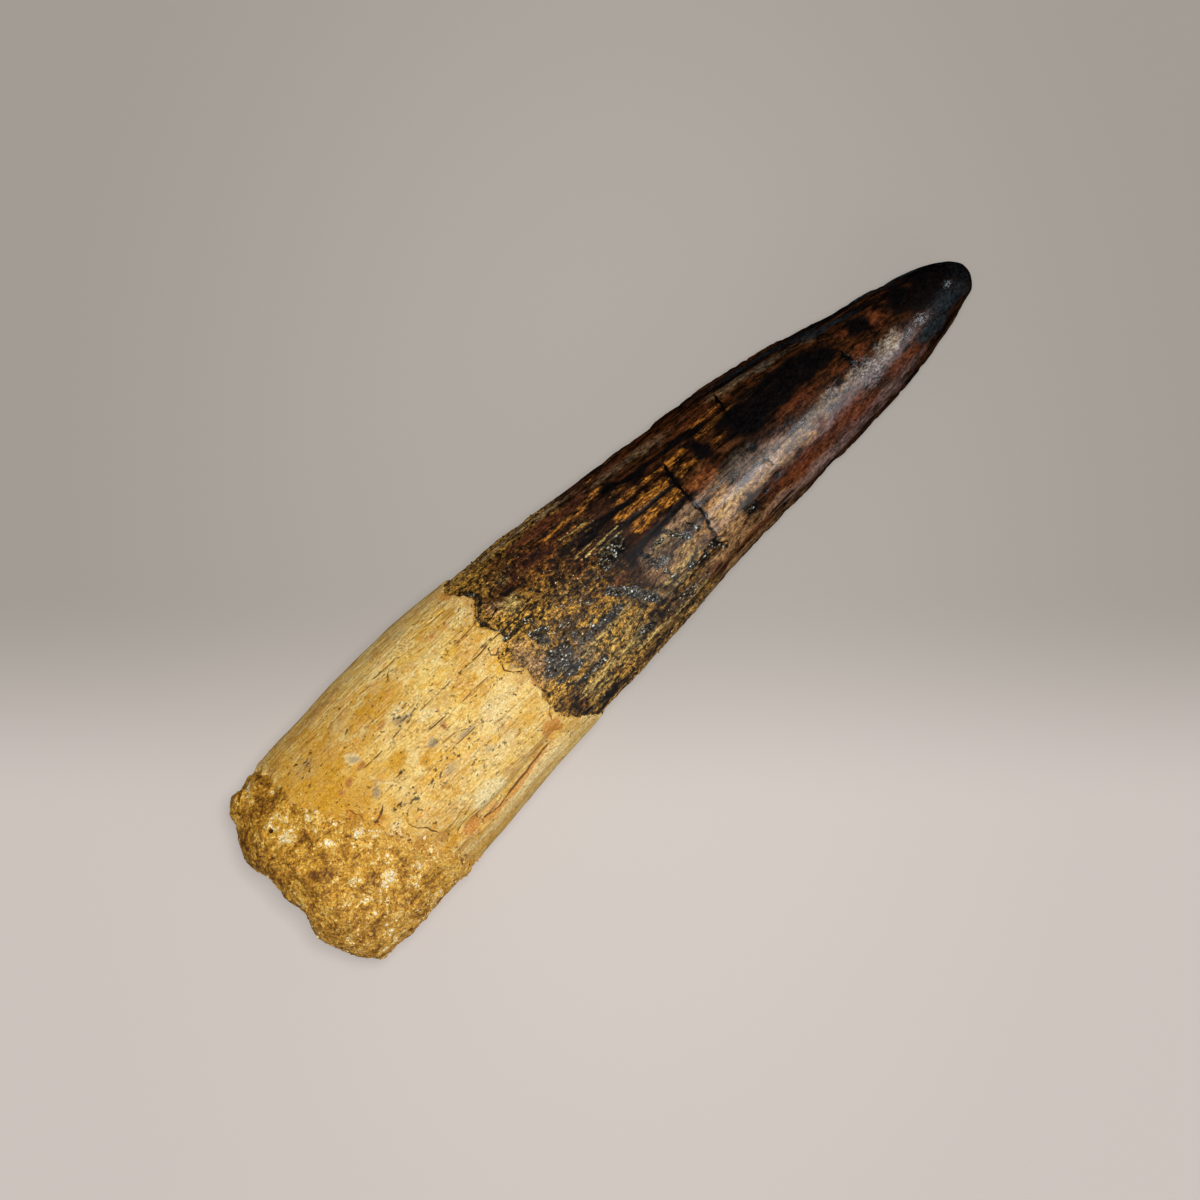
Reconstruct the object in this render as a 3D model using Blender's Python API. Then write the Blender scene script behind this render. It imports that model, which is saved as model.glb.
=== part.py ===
"""A fossil spinosaurus tooth that lies on its side: crown, root and a crust of cemented sand in one solid.

The broken base end is at -X and the tip at +X, and Z is up. Two small worn flats under it rest on z = 0.
Sizes are in millimetres, and MM turns them into metres. A place on the tooth is given by its distance
along from the base end, its distance across to the -Y side of the long axis, and the angle around that
axis, which is 0 on top, 90 degrees on the -Y side and 180 degrees underneath.
"""

import bisect
import math
from dataclasses import dataclass

import bmesh
import bpy
from mathutils import Vector, noise

MM = 0.001
NAME = "tooth"

# The whole tooth
LENGTH = 95.0
THICKNESS_SHARE = 0.86
TIP_THICKNESS_SHARE = 0.96
TIP_ROUND_FROM = 80.0
MIDDLE_ACROSS = 0.35


@dataclass(frozen=True)
class Section:
    """The outline seen from above at one distance along: half its width, and its middle's place across."""

    along: float
    half_width: float
    across: float


SECTIONS = (
    Section(3.2, 11.15, 1.05),
    Section(8.0, 11.5, 0.65),
    Section(14.0, 11.5, 0.28),
    Section(20.0, 11.5, -0.15),
    Section(27.0, 11.1, -0.6),
    Section(34.0, 10.6, -0.7),
    Section(42.0, 9.85, -0.7),
    Section(50.0, 9.0, -0.55),
    Section(58.0, 8.05, -0.55),
    Section(66.0, 7.4, -0.25),
    Section(74.0, 6.45, 0.35),
    Section(78.0, 5.85, 0.7),
    Section(82.0, 5.15, 1.1),
    Section(88.0, 3.85, 1.42),
    Section(92.0, 2.75, 1.57),
    Section(94.0, 1.8, 1.85),
    Section(LENGTH, 0.0, 1.75),
)

# How far the underside's line lies above z = 0. Below 0 it is worn flat.
UNDERSIDE = (
    (0.0, 0.2),
    (6.0, -0.3),
    (26.0, -0.3),
    (35.0, 0.1),
    (44.0, 0.25),
    (53.0, 0.0),
    (58.0, -0.2),
    (67.0, -0.2),
    (74.0, 0.15),
    (82.0, 0.8),
    (88.0, 1.6),
    (92.0, 2.3),
    (LENGTH, 3.4),
)

# The mesh: the rings of the broken end as shares of its radius, then (from, to, rings) along the side
AROUND_STEPS = 60
END_SHARES = (0.22, 0.42, 0.58, 0.7, 0.8, 0.88, 0.94, 0.98)
SIDE_ZONES = ((3.2, 15.0, 14), (15.0, 32.0, 11), (32.0, 37.0, 7), (37.0, 85.0, 29))
TIP_FROM = 85.0
TIP_RINGS = 11

# The broken end: flat in the middle, with a rounded corner that is worn further back on the +Y side
CORNER_FROM_SHARE = 0.45
CORNER_DEPTH = 3.2
CORNER_POWER = 2.6
END_RELIEF_TO = 2.0
END_LUMP_SIZE = 2.4
END_LUMP_DEPTH = 0.3
END_WORN_BACK = (
    (-10.5, -0.2),
    (-9.3, -0.2),
    (-7.8, 0.5),
    (-6.5, 0.3),
    (-4.0, -0.15),
    (-1.5, 0.4),
    (1.5, 0.45),
    (3.9, 0.6),
    (6.0, -0.1),
    (8.5, 0.25),
    (12.5, 0.0),
)

# The crust of sand, whose ragged edge runs round the root at these (angle, along) places
CRUST_EDGE = (
    (-180.0, 11.5),
    (-120.0, 9.0),
    (-90.0, 7.2),
    (-60.0, 7.5),
    (-31.0, 7.5),
    (-10.0, 9.5),
    (0.0, 11.0),
    (20.0, 12.4),
    (43.0, 14.0),
    (60.0, 15.0),
    (90.0, 15.4),
    (120.0, 14.0),
    (180.0, 11.5),
)
CRUST_LEDGE_WIDTH = 0.9
CRUST_INSET = 0.2
CRUST_LUMPS = ((2.8, 0.42), (1.4, 0.26))
CRUST_EDGE_RAGGED = 0.9
CRUST_EDGE_LUMP_SIZE = 2.2

# The flake that stands out at the +Y corner of the broken end
FLAKE_ALONG = 3.2
FLAKE_ANGLE = -72.0
FLAKE_LENGTH = 1.9
FLAKE_TURN = 14.0
FLAKE_HEIGHT = 0.5

# The root: soft swells, and a long split ledge close to its -Y side
ROOT_SWELLS = ((7.0, 0.16), (3.0, 0.07))
LEDGE_PATH = ((17.5, 8.3), (21.0, 8.8), (24.0, 8.9), (27.0, 8.5), (29.5, 8.2), (31.5, 7.8))
LEDGE_WIDTH = 1.1
LEDGE_DEPTH = 0.55
LEDGE_FADE = 1.2

# Where the crown's enamel starts. The root stands a little proud of it there.
ENAMEL_EDGE = (
    (-180.0, 36.5),
    (-120.0, 35.0),
    (-90.0, 33.9),
    (-60.0, 33.4),
    (-45.0, 34.8),
    (-30.0, 33.3),
    (-15.0, 34.4),
    (-5.0, 32.8),
    (10.0, 33.8),
    (30.0, 33.3),
    (45.0, 33.2),
    (62.0, 35.0),
    (90.0, 36.5),
    (130.0, 37.5),
    (180.0, 36.5),
)
ENAMEL_STEP = 0.28
ENAMEL_STEP_WIDTH = 0.7
ENAMEL_RECOVERS_OVER = 7.0

# The crown: a pitted zone at its foot, then shallow flutes, and a keel along each edge
PITTED_OVER = 1.0
PITTED_FADES_FROM = 42.0
PITTED_TO = 50.0
PIT_SIZE = 2.4
PIT_DEPTH = 0.3
PIT_SHARE = 0.12
FLUTES = 18
FLUTE_DEPTH = 0.08
FLUTES_FROM = 42.0
FLUTES_FULL_BY = 54.0
FLUTES_FADE_FROM = 64.0
FLUTES_END = 82.0
KEEL_FROM = 44.0
KEEL_FULL_BY = 60.0
KEEL_HEIGHT = 0.26
KEEL_HALF_ANGLE = 9.0
KEEL_FADES_FROM = 88.0
KEEL_END = 94.0
KEEL_CHIP_SIZE = 3.2
KEEL_CHIP_DEPTH = 2.0

# The surface's relief dies out over this half-width, so that the very tip stays whole
RELIEF_FULL_AT_HALF_WIDTH = 1.5

FINISHES = {
    "enamel": ((0.05, 0.024, 0.013), 0.34),
    "root": ((0.68, 0.45, 0.19), 0.62),
    "sand_crust": ((0.5, 0.29, 0.09), 0.9),
}


class SmoothCurve:
    """A smooth curve through (place, height) points."""

    def __init__(self, points):
        self.places = [place for place, _ in points]
        self.heights = [height for _, height in points]
        last = len(points) - 1
        self.slopes = [self.slope(max(i - 1, 0), min(i + 1, last)) for i in range(last + 1)]

    def slope(self, first, second):
        climb = self.heights[second] - self.heights[first]
        return climb / (self.places[second] - self.places[first])

    def at(self, place):
        right = min(max(bisect.bisect(self.places, place), 1), len(self.places) - 1)
        left = right - 1
        span = self.places[right] - self.places[left]
        t = min(max((place - self.places[left]) / span, 0.0), 1.0)
        start = self.heights[left] * (1 + 2 * t) * (1 - t) ** 2
        end = self.heights[right] * t**2 * (3 - 2 * t)
        bend = span * t * (1 - t) * (self.slopes[left] * (1 - t) - self.slopes[right] * t)
        return start + end + bend


def tip_scale(along):
    """Distance along, stretched so that the rounded tip is a straight line in it."""
    return -math.sqrt(max(1 - along / LENGTH, 0.0))


HALF_WIDTH = SmoothCurve([(tip_scale(s.along), s.half_width) for s in SECTIONS])
ACROSS = SmoothCurve([(tip_scale(s.along), s.across) for s in SECTIONS])
UNDERSIDE_LINE = SmoothCurve(UNDERSIDE)
CRUST_EDGE_LINE = SmoothCurve(CRUST_EDGE)
ENAMEL_EDGE_LINE = SmoothCurve(ENAMEL_EDGE)
END_WORN_BACK_LINE = SmoothCurve(END_WORN_BACK)
LEDGE_LINE = SmoothCurve(LEDGE_PATH)


def rise(low, high, value):
    """0 below low, 1 above high and smooth between them."""
    t = min(max((value - low) / (high - low), 0.0), 1.0)
    return t * t * (3 - 2 * t)


def bump(value, half_width):
    """1 at 0, falling smoothly to 0 at half_width on both sides."""
    return 1 - rise(0.0, half_width, abs(value))


def lumps(place, size):
    """Smooth noise from about -1 to 1, whose lumps have about this size in millimetres."""
    return noise.noise(place / size)


def crust_share(place, along, angle):
    """1 in the crust of sand, 0 on the bare root."""
    edge = CRUST_EDGE_LINE.at(angle) + CRUST_EDGE_RAGGED * lumps(place, CRUST_EDGE_LUMP_SIZE)
    return 1 - rise(edge - CRUST_LEDGE_WIDTH / 2, edge + CRUST_LEDGE_WIDTH / 2, along)


def past_enamel_edge(along, angle):
    """How far along the crown's enamel a place is. It is negative on the root."""
    return along - ENAMEL_EDGE_LINE.at(angle)


def crust_relief(place, along, angle):
    """The crust's own lumps, its inset on the +Y side, and the flake at its corner."""
    relief = sum(height * lumps(place, size) for size, height in CRUST_LUMPS)
    inset = CRUST_INSET * math.sin(math.radians(angle))
    away = math.hypot((along - FLAKE_ALONG) / FLAKE_LENGTH, (angle - FLAKE_ANGLE) / FLAKE_TURN)
    return relief + inset + FLAKE_HEIGHT * bump(away, 1.0)


def root_relief(place, along, across, angle):
    """The bare root's swells and its long split ledge."""
    relief = sum(height * lumps(place, size) for size, height in ROOT_SWELLS)
    if abs(angle) > 90:
        return relief
    ends = rise(LEDGE_PATH[0][0] - LEDGE_FADE, LEDGE_PATH[0][0], along)
    ends -= rise(LEDGE_PATH[-1][0], LEDGE_PATH[-1][0] + LEDGE_FADE, along)
    return relief - LEDGE_DEPTH * ends * bump(across - LEDGE_LINE.at(along), LEDGE_WIDTH)


def keel_relief(along, angle):
    """The keels along the crown's two edges, with chips out of them."""
    off_keel = min(abs(angle - 90), abs(angle + 90))
    share = rise(KEEL_FROM, KEEL_FULL_BY, along) * bump(off_keel, KEEL_HALF_ANGLE)
    share *= 1 - rise(KEEL_FADES_FROM, KEEL_END, along)
    side = Vector((along, math.copysign(LENGTH, angle), 0.0))
    chipped = max(lumps(side, KEEL_CHIP_SIZE), 0.0)
    return share * KEEL_HEIGHT * (1 - KEEL_CHIP_DEPTH * chipped)


def crown_relief(place, along, angle):
    """The crown's step down from the root, its pits, flutes and keels."""
    past = past_enamel_edge(along, angle)
    step = rise(-ENAMEL_STEP_WIDTH / 2, ENAMEL_STEP_WIDTH / 2, past)
    recovers = 1 - rise(0.0, ENAMEL_RECOVERS_OVER, past)
    pitted = rise(0.0, PITTED_OVER, past) * (1 - rise(PITTED_FADES_FROM, PITTED_TO, along))
    pits = pitted * PIT_DEPTH * max(lumps(place, PIT_SIZE) - PIT_SHARE, 0.0)
    fluted = rise(FLUTES_FROM, FLUTES_FULL_BY, along)
    fluted *= 1 - rise(FLUTES_FADE_FROM, FLUTES_END, along)
    flutes = fluted * FLUTE_DEPTH * math.cos(FLUTES * math.radians(angle))
    return flutes - ENAMEL_STEP * step * recovers - pits + keel_relief(along, angle)


def place_on_tooth(along, share, angle):
    """The point at this distance along, share of the radius and angle in degrees, in millimetres."""
    scale = tip_scale(along)
    half_width = HALF_WIDTH.at(scale) * share
    roundness = rise(TIP_ROUND_FROM, LENGTH, along)
    thickness = THICKNESS_SHARE + (TIP_THICKNESS_SHARE - THICKNESS_SHARE) * roundness
    axis_height = HALF_WIDTH.at(scale) * thickness + UNDERSIDE_LINE.at(along)
    sideways = math.sin(math.radians(angle))
    upwards = math.cos(math.radians(angle))
    across = ACROSS.at(scale) + half_width * sideways
    height = axis_height + half_width * thickness * upwards
    place = Vector((along, across, height))

    crust = crust_share(place, along, angle)
    relief = crust * crust_relief(place, along, angle) * share
    relief += (1 - crust) * root_relief(place, along, across, angle)
    relief += crown_relief(place, along, angle)
    relief *= rise(0.0, RELIEF_FULL_AT_HALF_WIDTH, HALF_WIDTH.at(scale))
    end_relief = END_WORN_BACK_LINE.at(across) + END_LUMP_DEPTH * lumps(place, END_LUMP_SIZE)
    end_relief *= 1 - rise(END_RELIEF_TO, CORNER_DEPTH, along)
    place += Vector((end_relief, relief * sideways, relief * upwards))
    place.z = max(place.z, 0.0)
    return place


def ring_places():
    """(along, share of the radius) for each ring of the mesh, from the broken end's middle to the tip."""
    rings = []
    for share in END_SHARES:
        corner = max((share - CORNER_FROM_SHARE) / (1 - CORNER_FROM_SHARE), 0.0)
        rings.append((CORNER_DEPTH * corner**CORNER_POWER, share))
    for start, end, count in SIDE_ZONES:
        rings += [(start + (end - start) * i / count, 1.0) for i in range(count)]
    for i in range(TIP_RINGS, 0, -1):
        rings.append((LENGTH - (LENGTH - TIP_FROM) * (i / TIP_RINGS) ** 2, 1.0))
    return rings


def world_place(place):
    """A place on the tooth in metres, in a frame centred under the tooth."""
    return Vector((place.x - LENGTH / 2, MIDDLE_ACROSS - place.y, place.z)) * MM


def finish_index(vertices):
    """Which of FINISHES a face wears, from the mean of its vertices' (along, angle) places."""
    along = sum(v[0] for v in vertices) / len(vertices)
    angle = vertices[0][1]
    if past_enamel_edge(along, angle) > 0:
        return 0
    return 2 if along < CRUST_EDGE_LINE.at(angle) else 1


def tooth_mesh():
    """A sphere whose rings of vertices are moved out to the tooth's surface."""
    rings = ring_places()
    form = bmesh.new()
    bmesh.ops.create_uvsphere(
        form, u_segments=AROUND_STEPS, v_segments=len(rings) + 1, radius=1.0
    )
    stations = {}
    for vertex in form.verts:
        from_base = math.acos(max(min(-vertex.co.z, 1.0), -1.0)) / math.pi
        ring = round(from_base * (len(rings) + 1)) - 1
        angle = math.degrees(math.atan2(vertex.co.y, vertex.co.x))
        if ring < 0:
            along, share = 0.0, 0.0
        elif ring == len(rings):
            along, share = LENGTH, 1.0
        else:
            along, share = rings[ring]
        stations[vertex.index] = (along, angle)
        vertex.co = world_place(place_on_tooth(along, share, angle))
    for face in form.faces:
        face.material_index = finish_index([stations[v.index] for v in face.verts])
    form.normal_update()
    bmesh.ops.recalc_face_normals(form, faces=form.faces)
    mesh = bpy.data.meshes.new(NAME)
    form.to_mesh(mesh)
    form.free()
    mesh.shade_smooth()
    return mesh


def finish_material(name, colour, roughness):
    material = bpy.data.materials.new(name)
    material.use_nodes = True
    shader = material.node_tree.nodes["Principled BSDF"]
    shader.inputs["Base Color"].default_value = (*colour, 1.0)
    shader.inputs["Roughness"].default_value = roughness
    return material


def build_tooth():
    """The tooth as one object, in a collection of its own."""
    mesh = tooth_mesh()
    for name, (colour, roughness) in FINISHES.items():
        mesh.materials.append(finish_material(name, colour, roughness))
    collection = bpy.data.collections.new("spinosaurus_tooth")
    bpy.context.scene.collection.children.link(collection)
    collection.objects.link(bpy.data.objects.new(NAME, mesh))


def main():
    for thing in list(bpy.data.objects):
        bpy.data.objects.remove(thing)
    build_tooth()


if __name__ == "__main__":
    main()
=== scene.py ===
"""Looks of a fossil spinosaurus tooth: a dark worn crown, a tan root and a crust of cemented sand.

Sizes are in millimetres, and MM turns them into metres. A place on the tooth is given by its
distance along from the broken end, and by its distance across to the -Y side of the long axis, as
seen from above. The angle around that axis is 0 on top, 90 degrees on the -Y side and 180 degrees
underneath. A pair of numbers for a fade is where it starts and where it ends.
"""

from __future__ import annotations

import logging
import math
from dataclasses import dataclass, replace
from enum import Enum
from typing import Sequence, TypeVar, Union

import bmesh
import bpy
import numpy as np
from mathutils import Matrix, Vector, noise

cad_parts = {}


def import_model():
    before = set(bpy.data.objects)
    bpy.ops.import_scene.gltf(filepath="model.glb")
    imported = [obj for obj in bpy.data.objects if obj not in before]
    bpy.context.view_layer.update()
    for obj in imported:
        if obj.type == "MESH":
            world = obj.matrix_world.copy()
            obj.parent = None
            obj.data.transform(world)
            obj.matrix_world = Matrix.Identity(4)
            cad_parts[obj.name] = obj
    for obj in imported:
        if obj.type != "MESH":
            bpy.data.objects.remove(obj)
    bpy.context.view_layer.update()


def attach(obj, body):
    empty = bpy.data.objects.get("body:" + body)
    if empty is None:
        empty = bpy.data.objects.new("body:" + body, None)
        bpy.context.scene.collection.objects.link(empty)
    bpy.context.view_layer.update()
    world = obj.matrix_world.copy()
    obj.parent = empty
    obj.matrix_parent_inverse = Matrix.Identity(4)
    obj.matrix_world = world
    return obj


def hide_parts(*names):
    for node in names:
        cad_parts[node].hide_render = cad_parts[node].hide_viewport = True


MM = 0.001
WELD = 1e-7
BODY = "root"
CAD_NODE = "tooth"
SEED = 95
WARP_SHIFT = 40.0
DAYLIGHT = (1.0, 0.99, 0.98)
TWIN_SHIFT = 1.6
TWIN_MIRROR = -0.85
TWIN_SCATTER = 7
FAR_OFF = 9.0
UNREACHED = 1e3
STROKE_MARGIN = 0.5

Pair = tuple[float, float]
Pairs = Sequence[Pair]
Layers = Sequence[tuple[float, ...]]
Triple = tuple[float, float, float]
Tone = tuple[float, float, float, float]
Shades = tuple[Tone, Tone]
Value = Union["Flow", float]
Colour = Union["Flow", Tone]
Fields = dict[str, np.ndarray]
log = logging.getLogger("spinosaurus_tooth")


def tone(red: int, green: int, blue: int) -> Tone:
    """A colour as seen on a screen, from 0 to 255, turned into the linear one that shaders use."""
    shares = [c / 255 for c in (red, green, blue)]
    linear = [c / 12.92 if c <= 0.04045 else ((c + 0.055) / 1.055) ** 2.4 for c in shares]
    return (*linear, 1.0)


def rise(low: float, high: float, value: np.ndarray) -> np.ndarray:
    """0 below low, 1 above high and smooth between them."""
    t = np.clip((value - low) / (high - low), 0.0, 1.0)
    return t * t * (3 - 2 * t)


def bump(value: np.ndarray, half_width: float) -> np.ndarray:
    """1 at 0, falling smoothly to 0 at half_width on both sides."""
    return 1 - rise(0.0, half_width, np.abs(value))


def lumps(places: np.ndarray, size: float, stretch: float = 1.0) -> np.ndarray:
    """Smooth noise from about -1 to 1 at each place.

    Args:
        places: One row of coordinates in millimetres for each place.
        size: The size of a lump in millimetres.
        stretch: How many times longer a lump is along the tooth.

    Returns:
        One value for each place.
    """
    scaled = places / np.array((size * stretch, size, size))
    return np.array([noise.noise(place) for place in scaled.tolist()])


class SmoothCurve:
    """A smooth curve through (place, height) points."""

    def __init__(self, points: Pairs) -> None:
        """Works out the curve's slope at each point."""
        self.places, self.heights = np.array(points, float).T
        before = np.maximum(np.arange(len(points)) - 1, 0)
        after = np.minimum(np.arange(len(points)) + 1, len(points) - 1)
        climb = self.heights[after] - self.heights[before]
        self.slopes = climb / (self.places[after] - self.places[before])

    def at(self, place: np.ndarray) -> np.ndarray:
        """The curve's height at each place. Past its ends it stays level."""
        right = np.clip(np.searchsorted(self.places, place, side="right"), 1, len(self.places) - 1)
        left = right - 1
        span = self.places[right] - self.places[left]
        t = np.clip((place - self.places[left]) / span, 0.0, 1.0)
        start = self.heights[left] * (1 + 2 * t) * (1 - t) ** 2
        end = self.heights[right] * t**2 * (3 - 2 * t)
        bend = span * t * (1 - t) * (self.slopes[left] * (1 - t) - self.slopes[right] * t)
        return start + end + bend


@dataclass(frozen=True)
class ToothForm:
    """The tooth's outline, its underside and the lines where its crust and its enamel end.

    A row of sections is a distance along, half the width there and how far across the middle lies.
    """

    length: float = 95.0
    thickness_share: float = 0.86
    tip_thickness_share: float = 0.96
    tip_round_from: float = 80.0
    middle_across: float = 0.35
    sections: tuple[Triple, ...] = (
        (3.2, 11.15, 1.05), (8.0, 11.5, 0.65), (14.0, 11.5, 0.28), (20.0, 11.5, -0.15),
        (27.0, 11.1, -0.6), (34.0, 10.6, -0.7), (42.0, 9.85, -0.7), (50.0, 9.0, -0.55),
        (58.0, 8.05, -0.55), (66.0, 7.4, -0.25), (74.0, 6.45, 0.35), (78.0, 5.85, 0.7),
        (82.0, 5.15, 1.1), (88.0, 3.85, 1.42), (92.0, 2.75, 1.57), (94.0, 1.8, 1.85),
        (95.0, 0.0, 1.75),
    )
    underside: Pairs = (
        (0.0, 0.2), (6.0, -0.3), (26.0, -0.3), (35.0, 0.1), (44.0, 0.25), (53.0, 0.0),
        (58.0, -0.2), (67.0, -0.2), (74.0, 0.15), (82.0, 0.8), (88.0, 1.6), (92.0, 2.3),
        (95.0, 3.4),
    )
    corner_from_share: float = 0.45
    corner_depth: float = 3.2
    corner_power: float = 2.6
    end_lump: Pair = (2.4, 0.3)
    end_from: float = 2.0
    end_worn_back: Pairs = (
        (-10.5, -0.2), (-9.3, -0.2), (-7.8, 0.5), (-6.5, 0.3), (-4.0, -0.15), (-1.5, 0.4),
        (1.5, 0.45), (3.9, 0.6), (6.0, -0.1), (8.5, 0.25), (12.5, 0.0),
    )
    crust_edge: Pairs = (
        (-180.0, 11.5), (-120.0, 9.0), (-90.0, 7.2), (-60.0, 7.5), (-31.0, 7.5), (-10.0, 9.5),
        (0.0, 11.0), (20.0, 12.4), (43.0, 14.0), (60.0, 15.0), (90.0, 15.4), (120.0, 14.0),
        (180.0, 11.5),
    )
    enamel_edge: Pairs = (
        (-180.0, 36.5), (-120.0, 35.0), (-90.0, 33.9), (-60.0, 33.4), (-45.0, 34.8), (-30.0, 33.3),
        (-15.0, 34.4), (-5.0, 32.8), (10.0, 33.8), (30.0, 33.3), (45.0, 33.2), (62.0, 35.0),
        (90.0, 36.5), (130.0, 37.5), (180.0, 36.5),
    )

    def tip_scale(self, along: np.ndarray) -> np.ndarray:
        """Distance along, stretched so that the rounded tip is a straight line in it."""
        return -np.sqrt(np.maximum(1 - along / self.length, 0.0))

    def between_sections(self, column: int, along: np.ndarray) -> np.ndarray:
        """A column of the sections' table, followed smoothly along the tooth."""
        scaled = [(float(self.tip_scale(np.array(row[0]))), row[column]) for row in self.sections]
        return SmoothCurve(scaled).at(self.tip_scale(along))

    def half_width(self, along: np.ndarray) -> np.ndarray:
        """Half the width at each distance along."""
        return self.between_sections(1, along)

    def middle(self, along: np.ndarray) -> np.ndarray:
        """How far across the middle of each section lies."""
        return self.between_sections(2, along)

    def thickness(self, along: np.ndarray) -> np.ndarray:
        """The section's height as a share of its width."""
        more = self.tip_thickness_share - self.thickness_share
        return self.thickness_share + more * rise(self.tip_round_from, self.length, along)

    def corner(self, share: float) -> float:
        """How far along the broken end's rounded corner is at this share of the radius."""
        bent = max((share - self.corner_from_share) / (1 - self.corner_from_share), 0.0)
        return self.corner_depth * bent**self.corner_power

    def angle_of(self, along: float, across: float, under: bool) -> float:
        """The angle around the axis of a place seen from above, or from below if it is under."""
        at = np.array(along)
        share = (across - float(self.middle(at))) / float(self.half_width(at))
        angle = math.degrees(math.asin(min(max(share, -0.999), 0.999)))
        return 180.0 - angle if under else angle

    def places(self, along: np.ndarray, share: np.ndarray, angle: np.ndarray) -> np.ndarray:
        """The smooth surface's places, as rows of (along, across, height).

        Args:
            along: Distance along, one for each place.
            share: Share of the section's radius, which is under 1 on the broken end.
            angle: Angle around the axis in degrees.

        Returns:
            One row for each place, in millimetres.
        """
        half = self.half_width(along)
        thick = self.thickness(along)
        across = self.middle(along) + half * share * np.sin(np.radians(angle))
        axis_height = half * thick + SmoothCurve(self.underside).at(along)
        height = axis_height + half * share * thick * np.cos(np.radians(angle))
        return np.stack((along, across, height), axis=1)

    def end_relief(self, places: np.ndarray) -> np.ndarray:
        """How far the broken end is worn back along the tooth at each place."""
        size, depth = self.end_lump
        worn = SmoothCurve(self.end_worn_back).at(places[:, 1]) + depth * lumps(places, size)
        return worn * (1 - rise(self.end_from, self.corner_depth, places[:, 0]))

    def in_row_frame(self, places: np.ndarray) -> np.ndarray:
        """Rows of (along, across, height) in the row frame, in metres and not below the floor."""
        along, across, height = places.T
        moved = (along - self.length / 2, self.middle_across - across, np.maximum(height, 0.0))
        return np.stack(moved, axis=1) * MM


@dataclass(frozen=True)
class Stain:
    """An oval mark, placed where it shows from above. Its length and width are half-sizes."""

    along: float
    across: float
    length: float
    width: float
    strength: float = 1.0
    blur: float = 0.5
    turn: float = 0.0
    under: bool = False

    def twin(self) -> Stain:
        """A moved copy on the hidden underside."""
        shift = TWIN_SHIFT * math.sin(TWIN_SCATTER * self.across + self.along)
        return replace(self, along=self.along + shift, across=TWIN_MIRROR * self.across, under=True)


@dataclass(frozen=True)
class Stroke:
    """A line drawn through places seen from above. Its width is a half-width."""

    points: Pairs
    width: float
    strength: float = 1.0
    blur: float = 0.45
    under: bool = False

    def twin(self) -> Stroke:
        """A moved copy on the hidden underside."""
        shift = TWIN_SHIFT * math.sin(TWIN_SCATTER * self.points[0][1])
        moved = tuple((along + shift, TWIN_MIRROR * across) for along, across in self.points)
        return replace(self, points=moved, under=True)


Mark = Union[Stain, Stroke]
Marks = tuple[Mark, ...]
AnyMark = TypeVar("AnyMark", bound=Mark)


def stains(*rows: tuple[float, ...]) -> Marks:
    """Stains from rows of their numbers, of which the last ones may be left out."""
    return tuple(Stain(*row) for row in rows)


def with_twins(marks: Sequence[AnyMark]) -> list[AnyMark]:
    """The marks, and the twin of each on the hidden underside."""
    return [*marks, *(mark.twin() for mark in marks)]


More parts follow.
